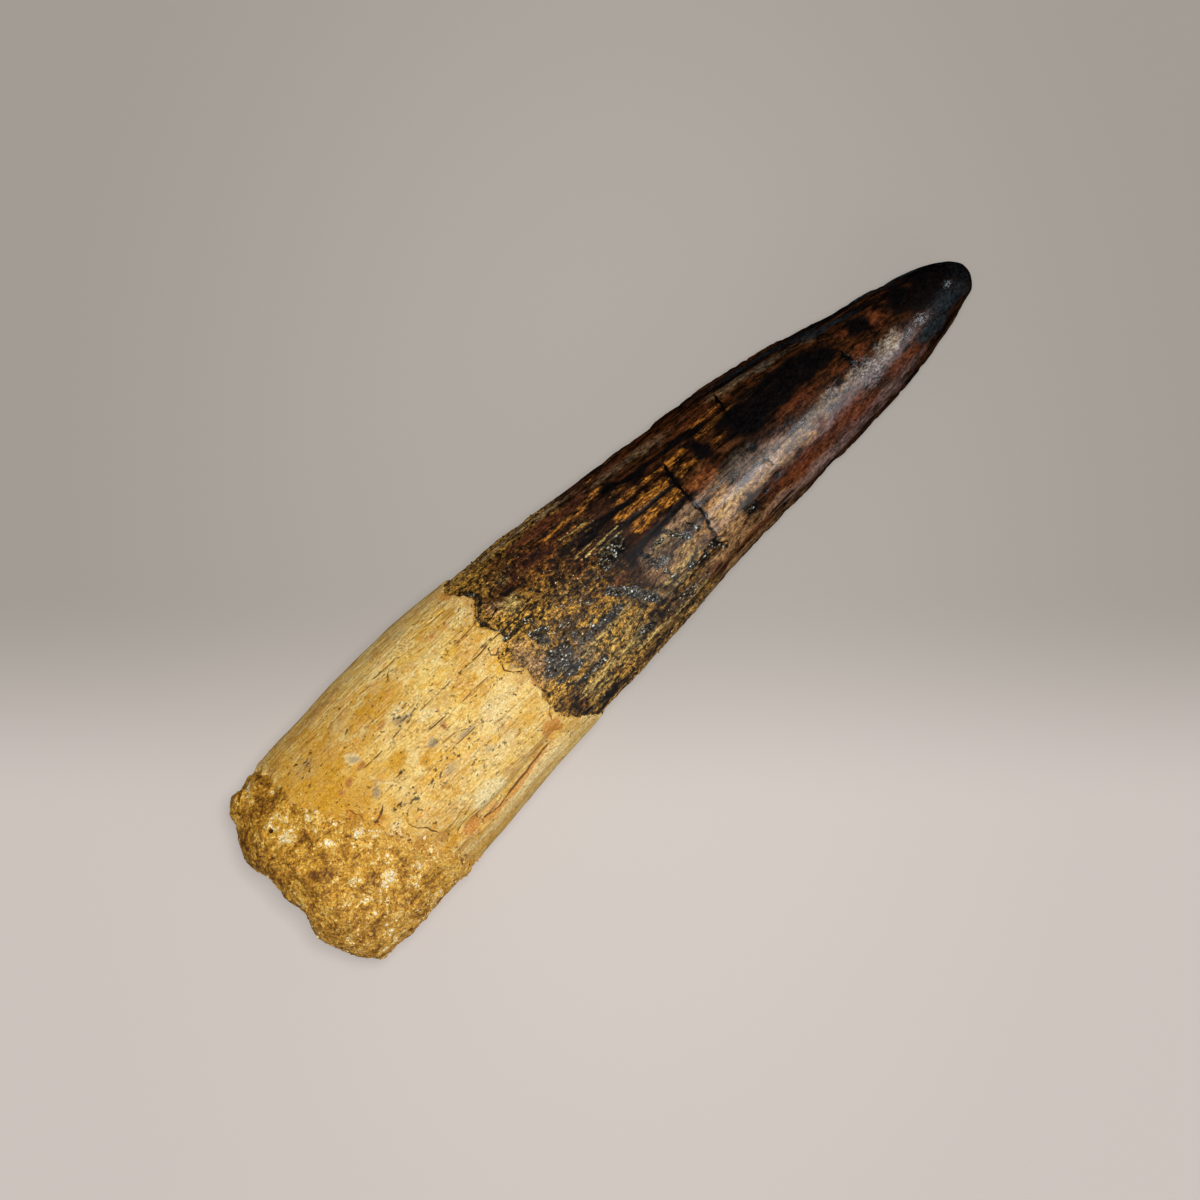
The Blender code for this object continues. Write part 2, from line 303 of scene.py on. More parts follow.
class Skin:
    """A closed stretch of the tooth's surface: rings of places with a pole at each end."""

    def __init__(self, form: ToothForm, rings: Pairs, steps: int) -> None:
        """Lays out the places.

        Args:
            form: The tooth's form.
            rings: (along, share of the radius) of each ring. The first and the last are the poles.
            steps: How many places a ring has.
        """
        along, share = np.array(rings, float).T
        self.form = form
        self.steps = steps
        self.inner = len(rings) - 2
        turn = np.arange(steps) * 360.0 / steps
        turn = np.where(turn > 180, turn - 360, turn)
        self.along = np.concatenate((along[:1], np.repeat(along[1:-1], steps), along[-1:]))
        self.share = np.concatenate((share[:1], np.repeat(share[1:-1], steps), share[-1:]))
        self.angle = np.concatenate(([0.0], np.tile(turn, self.inner), [0.0]))
        self.places = form.places(self.along, self.share, self.angle)
        self.sideways = np.sin(np.radians(self.angle))
        self.upwards = np.cos(np.radians(self.angle))
        self.radius = form.half_width(self.along) * (1 + form.thickness(self.along)) / 2
        self.ragged = self.lumpy(((0.3, 1.7), (0.22, 0.7)))
        self.warp_along = self.lumpy(((1.0, 1.3, 2.0), (0.6, 0.55, 1.5)))
        shifted = self.places + WARP_SHIFT
        self.warp_across = 0.8 * lumps(shifted, 1.3, 3.0) + 0.5 * lumps(shifted, 0.55, 3.0)

    def lumps(self, size: float, stretch: float = 1.0) -> np.ndarray:
        """Smooth noise over the surface, whose lumps have this size."""
        return lumps(self.places, size, stretch)

    def lumpy(self, layers: Layers) -> np.ndarray:
        """The sum of layers of noise, each with its height, its size and perhaps its stretch."""
        return sum(height * self.lumps(*shape) for height, *shape in layers)

    def hollows(self, depth: float, least: float, size: float, stretch: float = 1.0) -> np.ndarray:
        """Noise as lumps does it, but 0 up to its least value and then times the depth."""
        return depth * np.maximum(self.lumps(size, stretch) - least, 0.0)

    def outward(self, places: np.ndarray) -> np.ndarray:
        """The unit normal at each place of a surface with this one's rings."""
        normal = self.facing(places)
        return normal / np.maximum(np.linalg.norm(normal, axis=1, keepdims=True), 1e-9)

    def facing(self, places: np.ndarray) -> np.ndarray:
        """The normal at each place, as long as the area around the place is large."""
        grid = places[1:-1].reshape(self.inner, self.steps, 3)
        around = np.roll(grid, -1, axis=1) - np.roll(grid, 1, axis=1)
        lengthwise = np.gradient(grid, axis=0)
        normal = np.cross(lengthwise, around).reshape(-1, 3)
        poles = np.array(((-1e-6, 0.0, 0.0), (1e-6, 0.0, 0.0)))
        return np.concatenate((poles[:1], normal, poles[1:]))

    def local(self, near_along: float, reach: float, angle: float) -> tuple[np.ndarray, np.ndarray]:
        """The places near a mark.

        Args:
            near_along: The mark's distance along.
            reach: How far along from there a place may be.
            angle: The mark's angle around the axis.

        Returns:
            Their indices, and how far around the tooth from that angle each lies.
        """
        near = np.flatnonzero(np.abs(self.along - near_along) < reach)
        turn = (self.angle[near] - angle + 180.0) % 360.0 - 180.0
        return near, np.radians(turn) * self.radius[near]

    def cover(self, marks: Sequence[Mark], ragged: float = 1.0) -> np.ndarray:
        """How far marks cover each place, from 0 to 1, with softened ragged edges.

        Args:
            marks: Stains and strokes.
            ragged: How ragged their edges are.

        Returns:
            One share for each place.
        """
        covered = np.zeros(len(self.along))
        for mark in marks:
            near, off = self.stain_off(mark) if isinstance(mark, Stain) else self.stroke_off(mark)
            off = np.abs(off) + ragged * self.ragged[near]
            share = mark.strength * (1 - rise(1 - mark.blur, 1 + mark.blur, off))
            covered[near] = np.maximum(covered[near], share)
        return covered

    def stain_off(self, mark: Stain) -> tuple[np.ndarray, np.ndarray]:
        """The places near a stain, and how far off its middle each is, with 1 at its edge."""
        angle = self.form.angle_of(mark.along, mark.across, mark.under)
        near, across = self.local(mark.along, 2 * (mark.length + mark.width), angle)
        warp = min(1.1 * mark.width, 0.9)
        along = self.along[near] - mark.along + warp * self.warp_along[near]
        across = (-across if mark.under else across) + warp * self.warp_across[near]
        cosine, sine = math.cos(math.radians(mark.turn)), math.sin(math.radians(mark.turn))
        lengthwise = (along * cosine + across * sine) / mark.length
        return near, np.hypot(lengthwise, (across * cosine - along * sine) / mark.width)

    def stroke_off(self, mark: Stroke) -> tuple[np.ndarray, np.ndarray]:
        """The places near a stroke, and how far off its line each is, in half-widths.

        It is positive on one side of the line and negative on the other.
        """
        ends = [point[0] for point in mark.points]
        middle = (min(ends) + max(ends)) / 2
        angles = [self.form.angle_of(along, across, mark.under) for along, across in mark.points]
        reach = (max(ends) - min(ends)) / 2 + 8 * mark.width + STROKE_MARGIN
        near, across = self.local(middle, reach, angles[0])
        along = self.along[near] + 0.3 * self.warp_along[near]
        across = across + 0.22 * self.warp_across[near]
        radius = float(np.mean(self.radius[near]))
        around = [math.radians(angle - angles[0]) * radius for angle in angles]
        best = np.full(len(near), UNREACHED)
        for i in range(len(ends) - 1):
            run, climb = ends[i + 1] - ends[i], around[i + 1] - around[i]
            square = run**2 + climb**2
            share = ((along - ends[i]) * run + (across - around[i]) * climb) / square
            clipped = np.clip(share, 0.0, 1.0)
            gap = np.hypot(along - ends[i] - clipped * run, across - around[i] - clipped * climb)
            side = np.sign((along - ends[i]) * climb - (across - around[i]) * run)
            best = np.where(gap < np.abs(best), gap * np.where(side == 0, 1.0, side), best)
        return near, best / mark.width

    def line_offset(self, strokes: Sequence[Stroke]) -> tuple[np.ndarray, np.ndarray]:
        """How far off the nearest thin line each place is, for a shader to draw it from.

        Args:
            strokes: The lines.

        Returns:
            The offset in half-widths, signed by the side of the line, and the line's strength.
        """
        offset = np.full(len(self.along), FAR_OFF)
        strength = np.zeros(len(self.along))
        for stroke in strokes:
            near, off = self.stroke_off(stroke)
            closer = np.abs(off) < np.abs(offset[near])
            offset[near[closer]] = off[closer]
            fading = 1 - rise(2.0, 4.0, np.abs(off[closer]))
            strength[near[closer]] = stroke.strength * fading
        return np.clip(offset, -FAR_OFF, FAR_OFF), strength

    def piece(self, name: str, places: np.ndarray, fields: Fields) -> bpy.types.Object:
        """Rolls a grid up into the closed surface, and keeps fields on its vertices.

        Args:
            name: The piece's name.
            places: Where each place has moved to, as (along, across, height).
            fields: Named values for each place, which materials read as attributes.

        Returns:
            The piece, linked to the scene.
        """
        spots = self.form.in_row_frame(places)
        sheet = bmesh.new()
        rows = self.inner + 1
        bmesh.ops.create_grid(sheet, x_segments=self.steps, y_segments=rows, size=1.0)
        order = sheet.verts.layers.int.new("order")
        flat = np.array([vertex.co[:2] for vertex in sheet.verts])
        column = np.round((flat[:, 0] + 1) / 2 * self.steps).astype(int) % self.steps
        ring = np.round((flat[:, 1] + 1) / 2 * rows).astype(int) - 1
        index = 1 + ring * self.steps + column
        index = np.where(ring < 0, 0, np.where(ring >= self.inner, len(spots) - 1, index))
        for vertex, place, spot in zip(sheet.verts, index.tolist(), spots[index].tolist()):
            vertex.co = spot
            vertex[order] = place
        bmesh.ops.remove_doubles(sheet, verts=sheet.verts, dist=WELD)
        sheet.normal_update()
        bmesh.ops.recalc_face_normals(sheet, faces=sheet.faces)
        piece = shown(name, sheet)
        mesh = piece.data
        mesh.shade_smooth()
        kept = np.zeros(len(mesh.vertices), np.int32)
        mesh.attributes["order"].data.foreach_get("value", kept)
        mesh.attributes.remove(mesh.attributes["order"])
        for field, values in fields.items():
            keep_values(mesh, field, values[kept])
        return piece


def shown(name: str, sheet: bmesh.types.BMesh) -> bpy.types.Object:
    """A new object in the scene that shows the sheet, which is freed."""
    mesh = bpy.data.meshes.new(name)
    sheet.to_mesh(mesh)
    sheet.free()
    piece = bpy.data.objects.new(name, mesh)
    bpy.context.scene.collection.objects.link(piece)
    return piece


def keep_values(mesh: bpy.types.Mesh, name: str, values: np.ndarray) -> None:
    """Keeps a value for each vertex, which materials read as an attribute."""
    layer = mesh.attributes.new(name, "FLOAT", "POINT")
    layer.data.foreach_set("value", values.astype(np.float32))


def even_rings(start: float, end: float, spacing: float) -> list[Pair]:
    """Rings of the full radius from start up to end, which is left out."""
    count = max(round((end - start) / spacing), 1)
    return [(start + (end - start) * i / count, 1.0) for i in range(count)]


def closing_rings(along: float, count: int, opening: bool) -> list[Pair]:
    """Rings that close a stretch inside the tooth, from its pole outwards or back to it."""
    rings = [(along, i / count) for i in range(count)]
    return rings if opening else rings[::-1]


class Flow:
    """A value in a material's nodes. Its operators add Math nodes."""

    def __init__(self, paint: Paint, socket: bpy.types.NodeSocket) -> None:
        """Wraps an output socket of the paint's node tree."""
        self.paint = paint
        self.socket = socket

    def math(self, operation: str, *values: Value) -> Flow:
        """The result of a Math node on these values."""
        inputs = dict(enumerate(values))
        return self.paint.node("ShaderNodeMath", {"operation": operation}, inputs)

    def __add__(self, other: Value) -> Flow:
        """self + other."""
        return self.math("ADD", self, other)

    def __radd__(self, other: float) -> Flow:
        """other + self."""
        return self.math("ADD", other, self)

    def __sub__(self, other: Value) -> Flow:
        """self - other."""
        return self.math("SUBTRACT", self, other)

    def __rsub__(self, other: float) -> Flow:
        """other - self."""
        return self.math("SUBTRACT", other, self)

    def __mul__(self, other: Value) -> Flow:
        """self * other."""
        return self.math("MULTIPLY", self, other)

    def __rmul__(self, other: float) -> Flow:
        """other * self."""
        return self.math("MULTIPLY", other, self)

    def __abs__(self) -> Flow:
        """The distance from 0."""
        return self.math("ABSOLUTE", self)

    def rise(self, low: float, high: float) -> Flow:
        """0 below low, 1 above high and smooth between them."""
        settings = {"interpolation_type": "SMOOTHSTEP"}
        return self.paint.node("ShaderNodeMapRange", settings, {"Value": self, 1: low, 2: high})


class Paint:
    """A material that is painted in layers of colour over its Principled shader."""

    def __init__(self, name: str, roughness: float, specular: float) -> None:
        """Starts the material with the settings that are the same all over it."""
        self.material = bpy.data.materials.new(name)
        self.material.use_nodes = True
        self.nodes = self.material.node_tree.nodes
        self.links = self.material.node_tree.links
        self.shader = self.nodes["Principled BSDF"]
        self.shader.inputs["Roughness"].default_value = roughness
        self.shader.inputs["Specular IOR Level"].default_value = specular
        self.place = self.node("ShaderNodeTexCoord", {}, {}, "Object")
        self.colour: Colour = tone(128, 128, 128)

    def node(
        self,
        kind: str,
        settings: dict[str, object],
        inputs: dict[Union[int, str], object],
        output: Union[int, str] = 0,
    ) -> Flow:
        """Adds a node.

        Args:
            kind: The node's type.
            settings: Its own settings, which are set before its sockets.
            inputs: Values or flows for its input sockets, by name or place.
            output: Which of its outputs to give back.

        Returns:
            That output.
        """
        added = self.nodes.new(kind)
        for setting, value in settings.items():
            setattr(added, setting, value)
        for socket, value in inputs.items():
            if isinstance(value, Flow):
                self.links.new(value.socket, added.inputs[socket])
            else:
                added.inputs[socket].default_value = value
        return Flow(self, added.outputs[output])

    def field(self, name: str) -> Flow:
        """The values that the piece keeps under this name."""
        return self.node("ShaderNodeAttribute", {"attribute_name": name}, {}, "Fac")

    def spread(self, size: float, stretch: float) -> Flow:
        """The surface's places in units of a size, pressed together along the tooth."""
        scale = 1 / (size * MM)
        inputs = {"Vector": self.place, "Scale": (scale / stretch, scale, scale)}
        return self.node("ShaderNodeMapping", {}, inputs)

    def cloud(
        self, size: float, detail: float = 3.0, stretch: float = 1.0, rough: float = 0.55
    ) -> Flow:
        """Noise from 0 to 1.

        Args:
            size: The size of its lumps in millimetres.
            detail: How many finer layers it has.
            stretch: How many times longer a lump is along the tooth.
            rough: How strong the finer layers are.

        Returns:
            The noise.
        """
        inputs = {"Vector": self.spread(size, stretch), "Scale": 1.0}
        inputs |= {"Detail": detail, "Roughness": rough}
        return self.node("ShaderNodeTexNoise", {}, inputs, "Fac")

    def cells(
        self, size: float, stretch: float = 1.0, metric: str = "EUCLIDEAN"
    ) -> tuple[Flow, Flow]:
        """Grains, each with a value of its own.

        Args:
            size: A grain's size in millimetres.
            stretch: How many times longer it is along the tooth.
            metric: How distance is measured, which gives the grains their shape.

        Returns:
            The distance from each grain's middle, and the grain's value.
        """
        inputs = {"Vector": self.spread(size, stretch), "Scale": 1.0}
        settings = {"feature": "F1", "distance": metric}
        distance = self.node("ShaderNodeTexVoronoi", settings, inputs, "Distance")
        colour = Flow(self, distance.socket.node.outputs["Color"])
        return distance, self.node("ShaderNodeSeparateColor", {}, {0: colour}, "Red")

    def blend(self, share: Flow, first: Colour, second: Colour) -> Flow:
        """The first colour where share is 0, and the second where it is 1."""
        inputs = {"Factor": share, 6: first, 7: second}
        return self.node("ShaderNodeMix", {"data_type": "RGBA"}, inputs, 2)

    def layer(self, share: Flow, colour: Colour) -> None:
        """Paints a colour over what is there."""
        self.colour = self.blend(share, self.colour, colour)

    def marked(self, name: str, fray: Flow, soft: Pair, floor: float) -> Flow:
        """How far a field's marks cover the surface.

        Args:
            name: The field's name.
            fray: Noise around 0 that frays the marks' edges.
            soft: The values between which the edge fades.
            floor: The field's value below which the noise makes no mark of its own.

        Returns:
            The share covered, from 0 to 1.
        """
        field = self.field(name)
        return (field + fray).rise(*soft) * field.rise(0.0, floor)

    def drawn_lines(self, fray: Flow, soft: Pair) -> Flow:
        """How far the thin lines that the piece keeps cover the surface, with frayed edges."""
        return (1 - (abs(self.field("line")) + fray).rise(*soft)) * self.field("line_strength")

    def shade(self, strength: Colour) -> None:
        """Multiplies what is there by a strength."""
        settings = {"data_type": "RGBA", "blend_type": "MULTIPLY"}
        self.colour = self.node("ShaderNodeMix", settings, {0: 1.0, 6: self.colour, 7: strength}, 2)

    def glow(self, share: float) -> None:
        """Makes this share of the colour glow by itself, which softens the shadows on it."""
        self.links.new(self.colour.socket, self.shader.inputs["Emission Color"])
        self.shader.inputs["Emission Strength"].default_value = share
        self.shade((1 - share, 1 - share, 1 - share, 1.0))

    def finish(self, roughness: Flow, relief: Flow, depth: float) -> bpy.types.Material:
        """Joins the layers to the shader.

        Args:
            roughness: The roughness over the surface.
            relief: The fine relief, from 0 to 1.
            depth: The relief's depth in millimetres.

        Returns:
            The material.
        """
        inputs = {"Height": relief, "Strength": 1.0, "Distance": depth * MM}
        normal = self.node("ShaderNodeBump", {}, inputs)
        self.links.new(self.colour.socket, self.shader.inputs["Base Color"])
        self.links.new(roughness.socket, self.shader.inputs["Roughness"])
        self.links.new(normal.socket, self.shader.inputs["Normal"])
        return self.material


class EnamelGrain:
    """The enamel's noises, from lengthwise streaks and broad patches to fine dust."""

    def __init__(self, paint: Paint) -> None:
        """Adds them to the paint."""
        self.streak = paint.cloud(0.45, 5.0, 7.0, 0.62)
        self.thread = paint.cloud(0.19, 4.0, 7.0, 0.65)
        self.patch = paint.cloud(1.6, 6.0, 1.8, 0.66)
        self.mottle = paint.cloud(0.7, 6.0, 1.4, 0.74)
        self.speck = paint.cloud(0.3, 4.0, 1.3, 0.72)
        self.dust = paint.cloud(0.13, 3.0, 1.4, 0.7)


@dataclass(frozen=True)
class CrownFinish:
    """The enamel: near black, streaked with brown and amber, and mottled towards the root, with
    painted sheen and glints.
    """

    deep: Tone = tone(15, 8, 4)
    brown: Tone = tone(76, 40, 14)
    ground: Shades = (tone(88, 54, 8), tone(206, 156, 60))
    dim_ground: Shades = (tone(26, 9, 1), tone(100, 52, 5))
    hollow: Tone = tone(15, 9, 5)
    # Painted glints on the foot's mottled ground.
    glint: Tone = tone(244, 224, 172)
    # The ash tone is grey-brown stain near the foot, and painted sheen and highlight along the
    # edges and on the gloss band.
    ash_and_sheen: Shades = (tone(42, 30, 18), tone(158, 130, 94))
    tan: Shades = (tone(84, 52, 26), tone(212, 164, 108))
    olive: Shades = (tone(92, 68, 24), tone(208, 178, 104))
    rust: Shades = (tone(44, 18, 7), tone(114, 58, 28))
    # The mauve tone is painted sheen: the grazing reflection along the lower edge and on the gloss
    # band.
    painted_sheen: Shades = (tone(74, 56, 54), tone(140, 114, 110))
    # The slate tone is the tip's own dark blue-grey, with painted sheen on the tip and along the
    # upper edge.
    slate_and_sheen: Shades = (tone(4, 7, 9), tone(36, 46, 52))
    amber: Shades = (tone(62, 28, 4), tone(192, 124, 38))
    black: Shades = (tone(2, 2, 4), tone(12, 11, 12))
    crystal: Shades = (tone(8, 7, 7), tone(90, 76, 46))
    # Painted glints, silvery, on the black crystals.
    crystal_glint: Tone = tone(190, 200, 196)
    # Painted highlight on the polished spots.
    painted_highlight: Tone = tone(196, 206, 212)
    crack: Tone = tone(5, 4, 4)

    def paint_ground(self, paint: Paint, grain: EnamelGrain, foot: Flow) -> None:
        """Paints the brown streaks, and over them the mottled ground of the foot with its painted
        glints.
        """
        streak, patch, mottle, speck = grain.streak, grain.patch, grain.mottle, grain.speck
        near_root, dim = paint.field("margin"), paint.field("dim")
        browned = (0.6 * streak + 0.4 * mottle).rise(0.42, 0.62)
        paint.colour = paint.blend(browned, self.deep, self.brown)
        lit = (0.3 * mottle + 0.4 * speck + 0.3 * streak).rise(0.41, 0.59)
        bright = paint.blend(lit, *self.ground)
        ground = paint.blend(dim, bright, paint.blend(lit, *self.dim_ground))
        dots = paint.cloud(0.46, 4.0, 1.3, 0.6) + 0.4 * (patch - 0.5)
        dots = dots - 0.05 * near_root + 0.03 * dim
        ground = paint.blend(0.92 * dots.rise(0.5, 0.56), ground, self.hollow)
        ground = paint.blend(0.7 * (patch - 0.08 * near_root).rise(0.55, 0.62), ground, self.hollow)
        # Painted glints: small pale flecks on the foot's ground.
        ground = paint.blend((0.5 * speck + 0.5 * grain.dust).rise(0.62, 0.66), ground, self.glint)
        paint.layer(foot, ground)

    def paint_bands(self, paint: Paint, grain: EnamelGrain) -> None:
        """Paints the bands and stains, each lit and frayed by the noises. The mauve band is painted
        sheen, and the grey and blue-grey bands are partly painted sheen and highlight.
        """
        streak, mottle, speck = grain.streak - 0.5, grain.mottle - 0.5, grain.speck - 0.5
        crisp = streak + 0.9 * mottle + 0.8 * speck
        soft = 0.6 * streak + 0.5 * mottle + 0.5 * (grain.patch - 0.5)
        threads = 0.15 + 0.85 * (0.6 * grain.thread + 0.4 * grain.streak).rise(0.44, 0.57)
        lit = (0.4 * grain.thread + 0.3 * grain.speck + 0.3 * grain.mottle).rise(0.38, 0.62)
        for name, shades, fray, strength in (
            ("ash_and_sheen", self.ash_and_sheen, soft, 0.94),
            ("tan", self.tan, soft, 0.94),
            ("painted_sheen", self.painted_sheen, soft, 0.9),
            ("rust", self.rust, soft, 0.94),
            ("olive", self.olive, crisp, 0.94),
            ("amber", self.amber, crisp, threads),
            ("black", self.black, crisp, 0.96),
            ("slate_and_sheen", self.slate_and_sheen, soft, 0.9),
        ):
            share = paint.marked(name, fray, (0.15, 0.95), 0.2)
            paint.layer(strength * share, paint.blend(lit, *shades))

    def paint_crackle(self, paint: Paint, grain: EnamelGrain) -> Flow:
        """Paints the black crystals with painted silvery glints, and gives back how far they cover
        the surface.
        """
        net = paint.marked("crackle", 1.2 * (grain.mottle - 0.5), (0.25, 0.45), 0.2)
        _, facet = paint.cells(0.15, 1.6, "CHEBYCHEV")
        crystals = paint.blend(facet.rise(0.64, 0.7), *self.crystal)
        # Painted glints: silvery flecks on some facets of the crystals.
        sparkle = (facet + 0.5 * (grain.dust - 0.5)).rise(0.9, 0.94) * grain.speck.rise(0.46, 0.54)
        paint.layer(0.92 * net, paint.blend(sparkle, crystals, self.crystal_glint))
        return net

    def material(self) -> bpy.types.Material:
        """The enamel's material."""
        paint = Paint("worn_enamel", 0.4, 0.5)
        grain = EnamelGrain(paint)
        speck, dust, thread = grain.speck, grain.dust, grain.thread
        foot = (paint.field("foot") + 0.9 * (grain.patch - 0.5)).rise(0.2, 0.8)
        self.paint_ground(paint, grain, foot)
        self.paint_bands(paint, grain)
        net = self.paint_crackle(paint, grain)
        drawn = paint.drawn_lines(0.8 * (grain.mottle - 0.5), (0.5, 1.1))
        paint.layer(drawn, self.crack)
        grit = (0.45 * dust + 0.35 * speck + 0.2 * thread).rise(0.38, 0.62)
        dull = paint.field("dull")
        paint.shade(0.55 + 0.9 * grit + 0.8 * dull * (grit - 0.5))
        # Polished spots: smoother and less bumpy, and a pale tone is painted on them as a painted
        # highlight.
        polish_and_glint = paint.field("glint") * speck.rise(0.46, 0.54)
        paint.layer(0.45 * polish_and_glint * dust.rise(0.45, 0.55), self.painted_highlight)
        roughness = 0.27 + 0.5 * dull * (1 - 0.5 * net) + 0.3 * (speck - 0.5) - 0.14 * polish_and_glint
        relief = 0.16 * thread + 0.12 * grain.streak + 0.35 * speck * (0.5 + foot) + 0.15 * dust
        relief = relief * (1 - 0.5 * polish_and_glint) - 0.4 * drawn
        return paint.finish(roughness, relief, 0.08)


@dataclass(frozen=True)
class RootFinish:
    """The root: cream and tan dentine, stained with ochre, rust and grey, and specked black."""

    cream: Tone = tone(238, 200, 110)
    sand: Tone = tone(214, 160, 58)
    light: Tone = tone(252, 232, 162)
    shade: Tone = tone(168, 118, 54)
    ochre: Shades = (tone(184, 124, 8), tone(222, 164, 34))
    pale: Shades = (tone(228, 204, 140), tone(248, 232, 180))
    tan: Shades = (tone(140, 92, 38), tone(190, 138, 72))
    rust: Shades = (tone(146, 84, 40), tone(200, 130, 72))
    orange: Shades = (tone(168, 92, 18), tone(220, 148, 52))
    grey: Shades = (tone(104, 98, 92), tone(176, 160, 130))
    veil: Tone = tone(220, 186, 116)
    blush: Tone = tone(226, 166, 88)
    honey: Tone = tone(232, 178, 56)
    speck: Tone = tone(52, 40, 30)
    crack: Tone = tone(104, 68, 32)
    hair: Tone = tone(142, 92, 40)

    def material(self) -> bpy.types.Material:
        """The root's material."""
        paint = Paint("stained_dentine", 0.5, 0.3)
        broad = paint.cloud(4.5, 5.0, 1.4, 0.6)
        patch = paint.cloud(1.1, 6.0, 1.3, 0.68)
        fibre = paint.cloud(0.3, 4.0, 5.0, 0.65)
        grain = paint.cloud(0.26, 4.0, 1.3, 0.75)
        sandy = (0.5 * broad + 0.5 * patch).rise(0.44, 0.57)
        paint.colour = paint.blend(sandy, self.cream, self.sand)
        paint.layer(0.7 * paint.cloud(2.1, 6.0, 1.3, 0.68).rise(0.5, 0.58), self.veil)
        paint.layer(0.6 * paint.cloud(1.7, 6.0, 1.2, 0.68).rise(0.53, 0.6), self.blush)
        paint.layer(0.55 * paint.cloud(2.7, 6.0, 1.5, 0.68).rise(0.53, 0.6), self.honey)
        paint.layer(0.5 * paint.cloud(1.4, 6.0, 1.6, 0.7).rise(0.54, 0.62), self.light)
        paint.layer(0.7 * (0.4 * fibre + 0.6 * grain).rise(0.51, 0.63), self.light)
        paint.layer(0.75 * (1 - (0.6 * grain + 0.4 * patch).rise(0.39, 0.47)), self.shade)
        upper = paint.field("upper")
        hairs = paint.cloud(0.24, 4.0, 14.0, 0.6) + 0.1 * (patch - 0.5) + 0.05 * upper
        paint.layer(0.6 * hairs.rise(0.59, 0.64), self.hair)
        threads = paint.cloud(0.2, 4.0, 12.0, 0.6) + 0.04 * upper
        paint.layer(0.5 * threads.rise(0.57, 0.64), self.light)
        fray = 1.2 * (patch - 0.5) + 1.3 * (grain - 0.5)
        lit = grain.rise(0.35, 0.65)
        for name in ("tan", "ochre", "pale", "orange", "rust", "grey"):
            share = paint.marked(name, fray, (0.1, 1.15), 0.25)
            paint.layer(0.85 * share, paint.blend(lit, *getattr(self, name)))
        scatter = paint.cloud(0.36, 5.0, 1.5, 0.66) + 0.16 * paint.field("specks")
        dots = scatter.rise(0.635, 0.68)
        paint.layer(0.85 * dots, self.speck)
        dust = paint.cloud(0.14, 3.0, 1.4, 0.7)
        paint.shade(0.82 - 0.07 * upper + (0.36 + 0.14 * upper) * dust.rise(0.36, 0.64))
        drawn = paint.drawn_lines(0.7 * (grain - 0.5), (0.4, 1.2)) * patch.rise(0.36, 0.5)
        paint.layer(drawn, self.crack)
        roughness = 0.5 + 0.5 * (grain - 0.5) - 0.1 * fibre.rise(0.5, 0.7)
        relief = 0.4 * fibre + 0.5 * grain + 0.25 * patch - 0.4 * dots - 0.5 * drawn
        return paint.finish(roughness, relief, 0.16)


@dataclass(frozen=True)
class CrustFinish:
    """The crust of sand: grains of brown, gold and cream cemented together."""

    umber: Tone = tone(108, 64, 8)
    brown: Tone = tone(170, 118, 28)
    gold: Tone = tone(220, 164, 54)
    cream: Tone = tone(240, 202, 108)
    pale: Tone = tone(250, 236, 198)
    amber: Tone = tone(196, 136, 36)
    shade: Tone = tone(84, 50, 12)
    hole: Tone = tone(40, 22, 10)
    thinned: Shades = (tone(196, 138, 32), tone(236, 192, 92))

    def material(self) -> bpy.types.Material:
        """The crust's material."""
        paint = Paint("cemented_sand", 0.7, 0.5)
        broad = paint.cloud(2.4, 5.0, 1.0, 0.6)
        grit = paint.cloud(0.34, 5.0, 1.0, 0.75)
        far, own = paint.cells(0.42)
        fine_far, fine_own = paint.cells(0.2)
        middling = paint.cloud(0.85, 5.0, 1.3, 0.65)
        _, flake = paint.cells(0.62, 1.4, "CHEBYCHEV")
        dark = paint.field("dark")
        tint = 0.25 * own + 0.3 * fine_own + 0.25 * flake + 1.5 * broad + 0.4 * middling
        tint = tint + 0.5 * grit - 1.12 + 0.3 * paint.field("pale") - 0.2 * dark
        paint.colour = paint.blend(tint.rise(0.1, 0.36), self.umber, self.brown)
        paint.layer(tint.rise(0.34, 0.62), self.gold)
        paint.layer((tint + 0.2 * own).rise(0.74, 0.92), self.cream)
        paint.layer((tint + 0.35 * own).rise(1.06, 1.18), self.pale)
        paint.layer(0.7 * paint.field("amber"), self.amber)
        thin = (paint.field("thin") + 0.9 * (middling - 0.5)).rise(0.25, 0.75)
        paint.layer(0.85 * thin, paint.blend(grit.rise(0.4, 0.6), *self.thinned))
        gaps = far.rise(0.5, 0.7) * (1 - grit.rise(0.4, 0.6))
        paint.layer(0.5 * gaps * (1 - 0.7 * thin), self.shade)
        paint.layer(0.9 * dark.rise(0.95, 1.25), self.hole)
        paint.shade(0.66 + 0.64 * paint.cloud(0.16, 3.0, 1.0, 0.7).rise(0.36, 0.64))
        roughness = 0.72 - 0.5 * (own + fine_own).rise(1.45, 1.6)
        relief = 0.4 * (1 - far) + 0.2 * (1 - fine_far) + 0.6 * grit
        return paint.finish(roughness, relief, 0.14)


class GrainKind(Enum):
    """What small grains are made of."""

    SAND = "sand"
    CRYSTAL = "crystal"


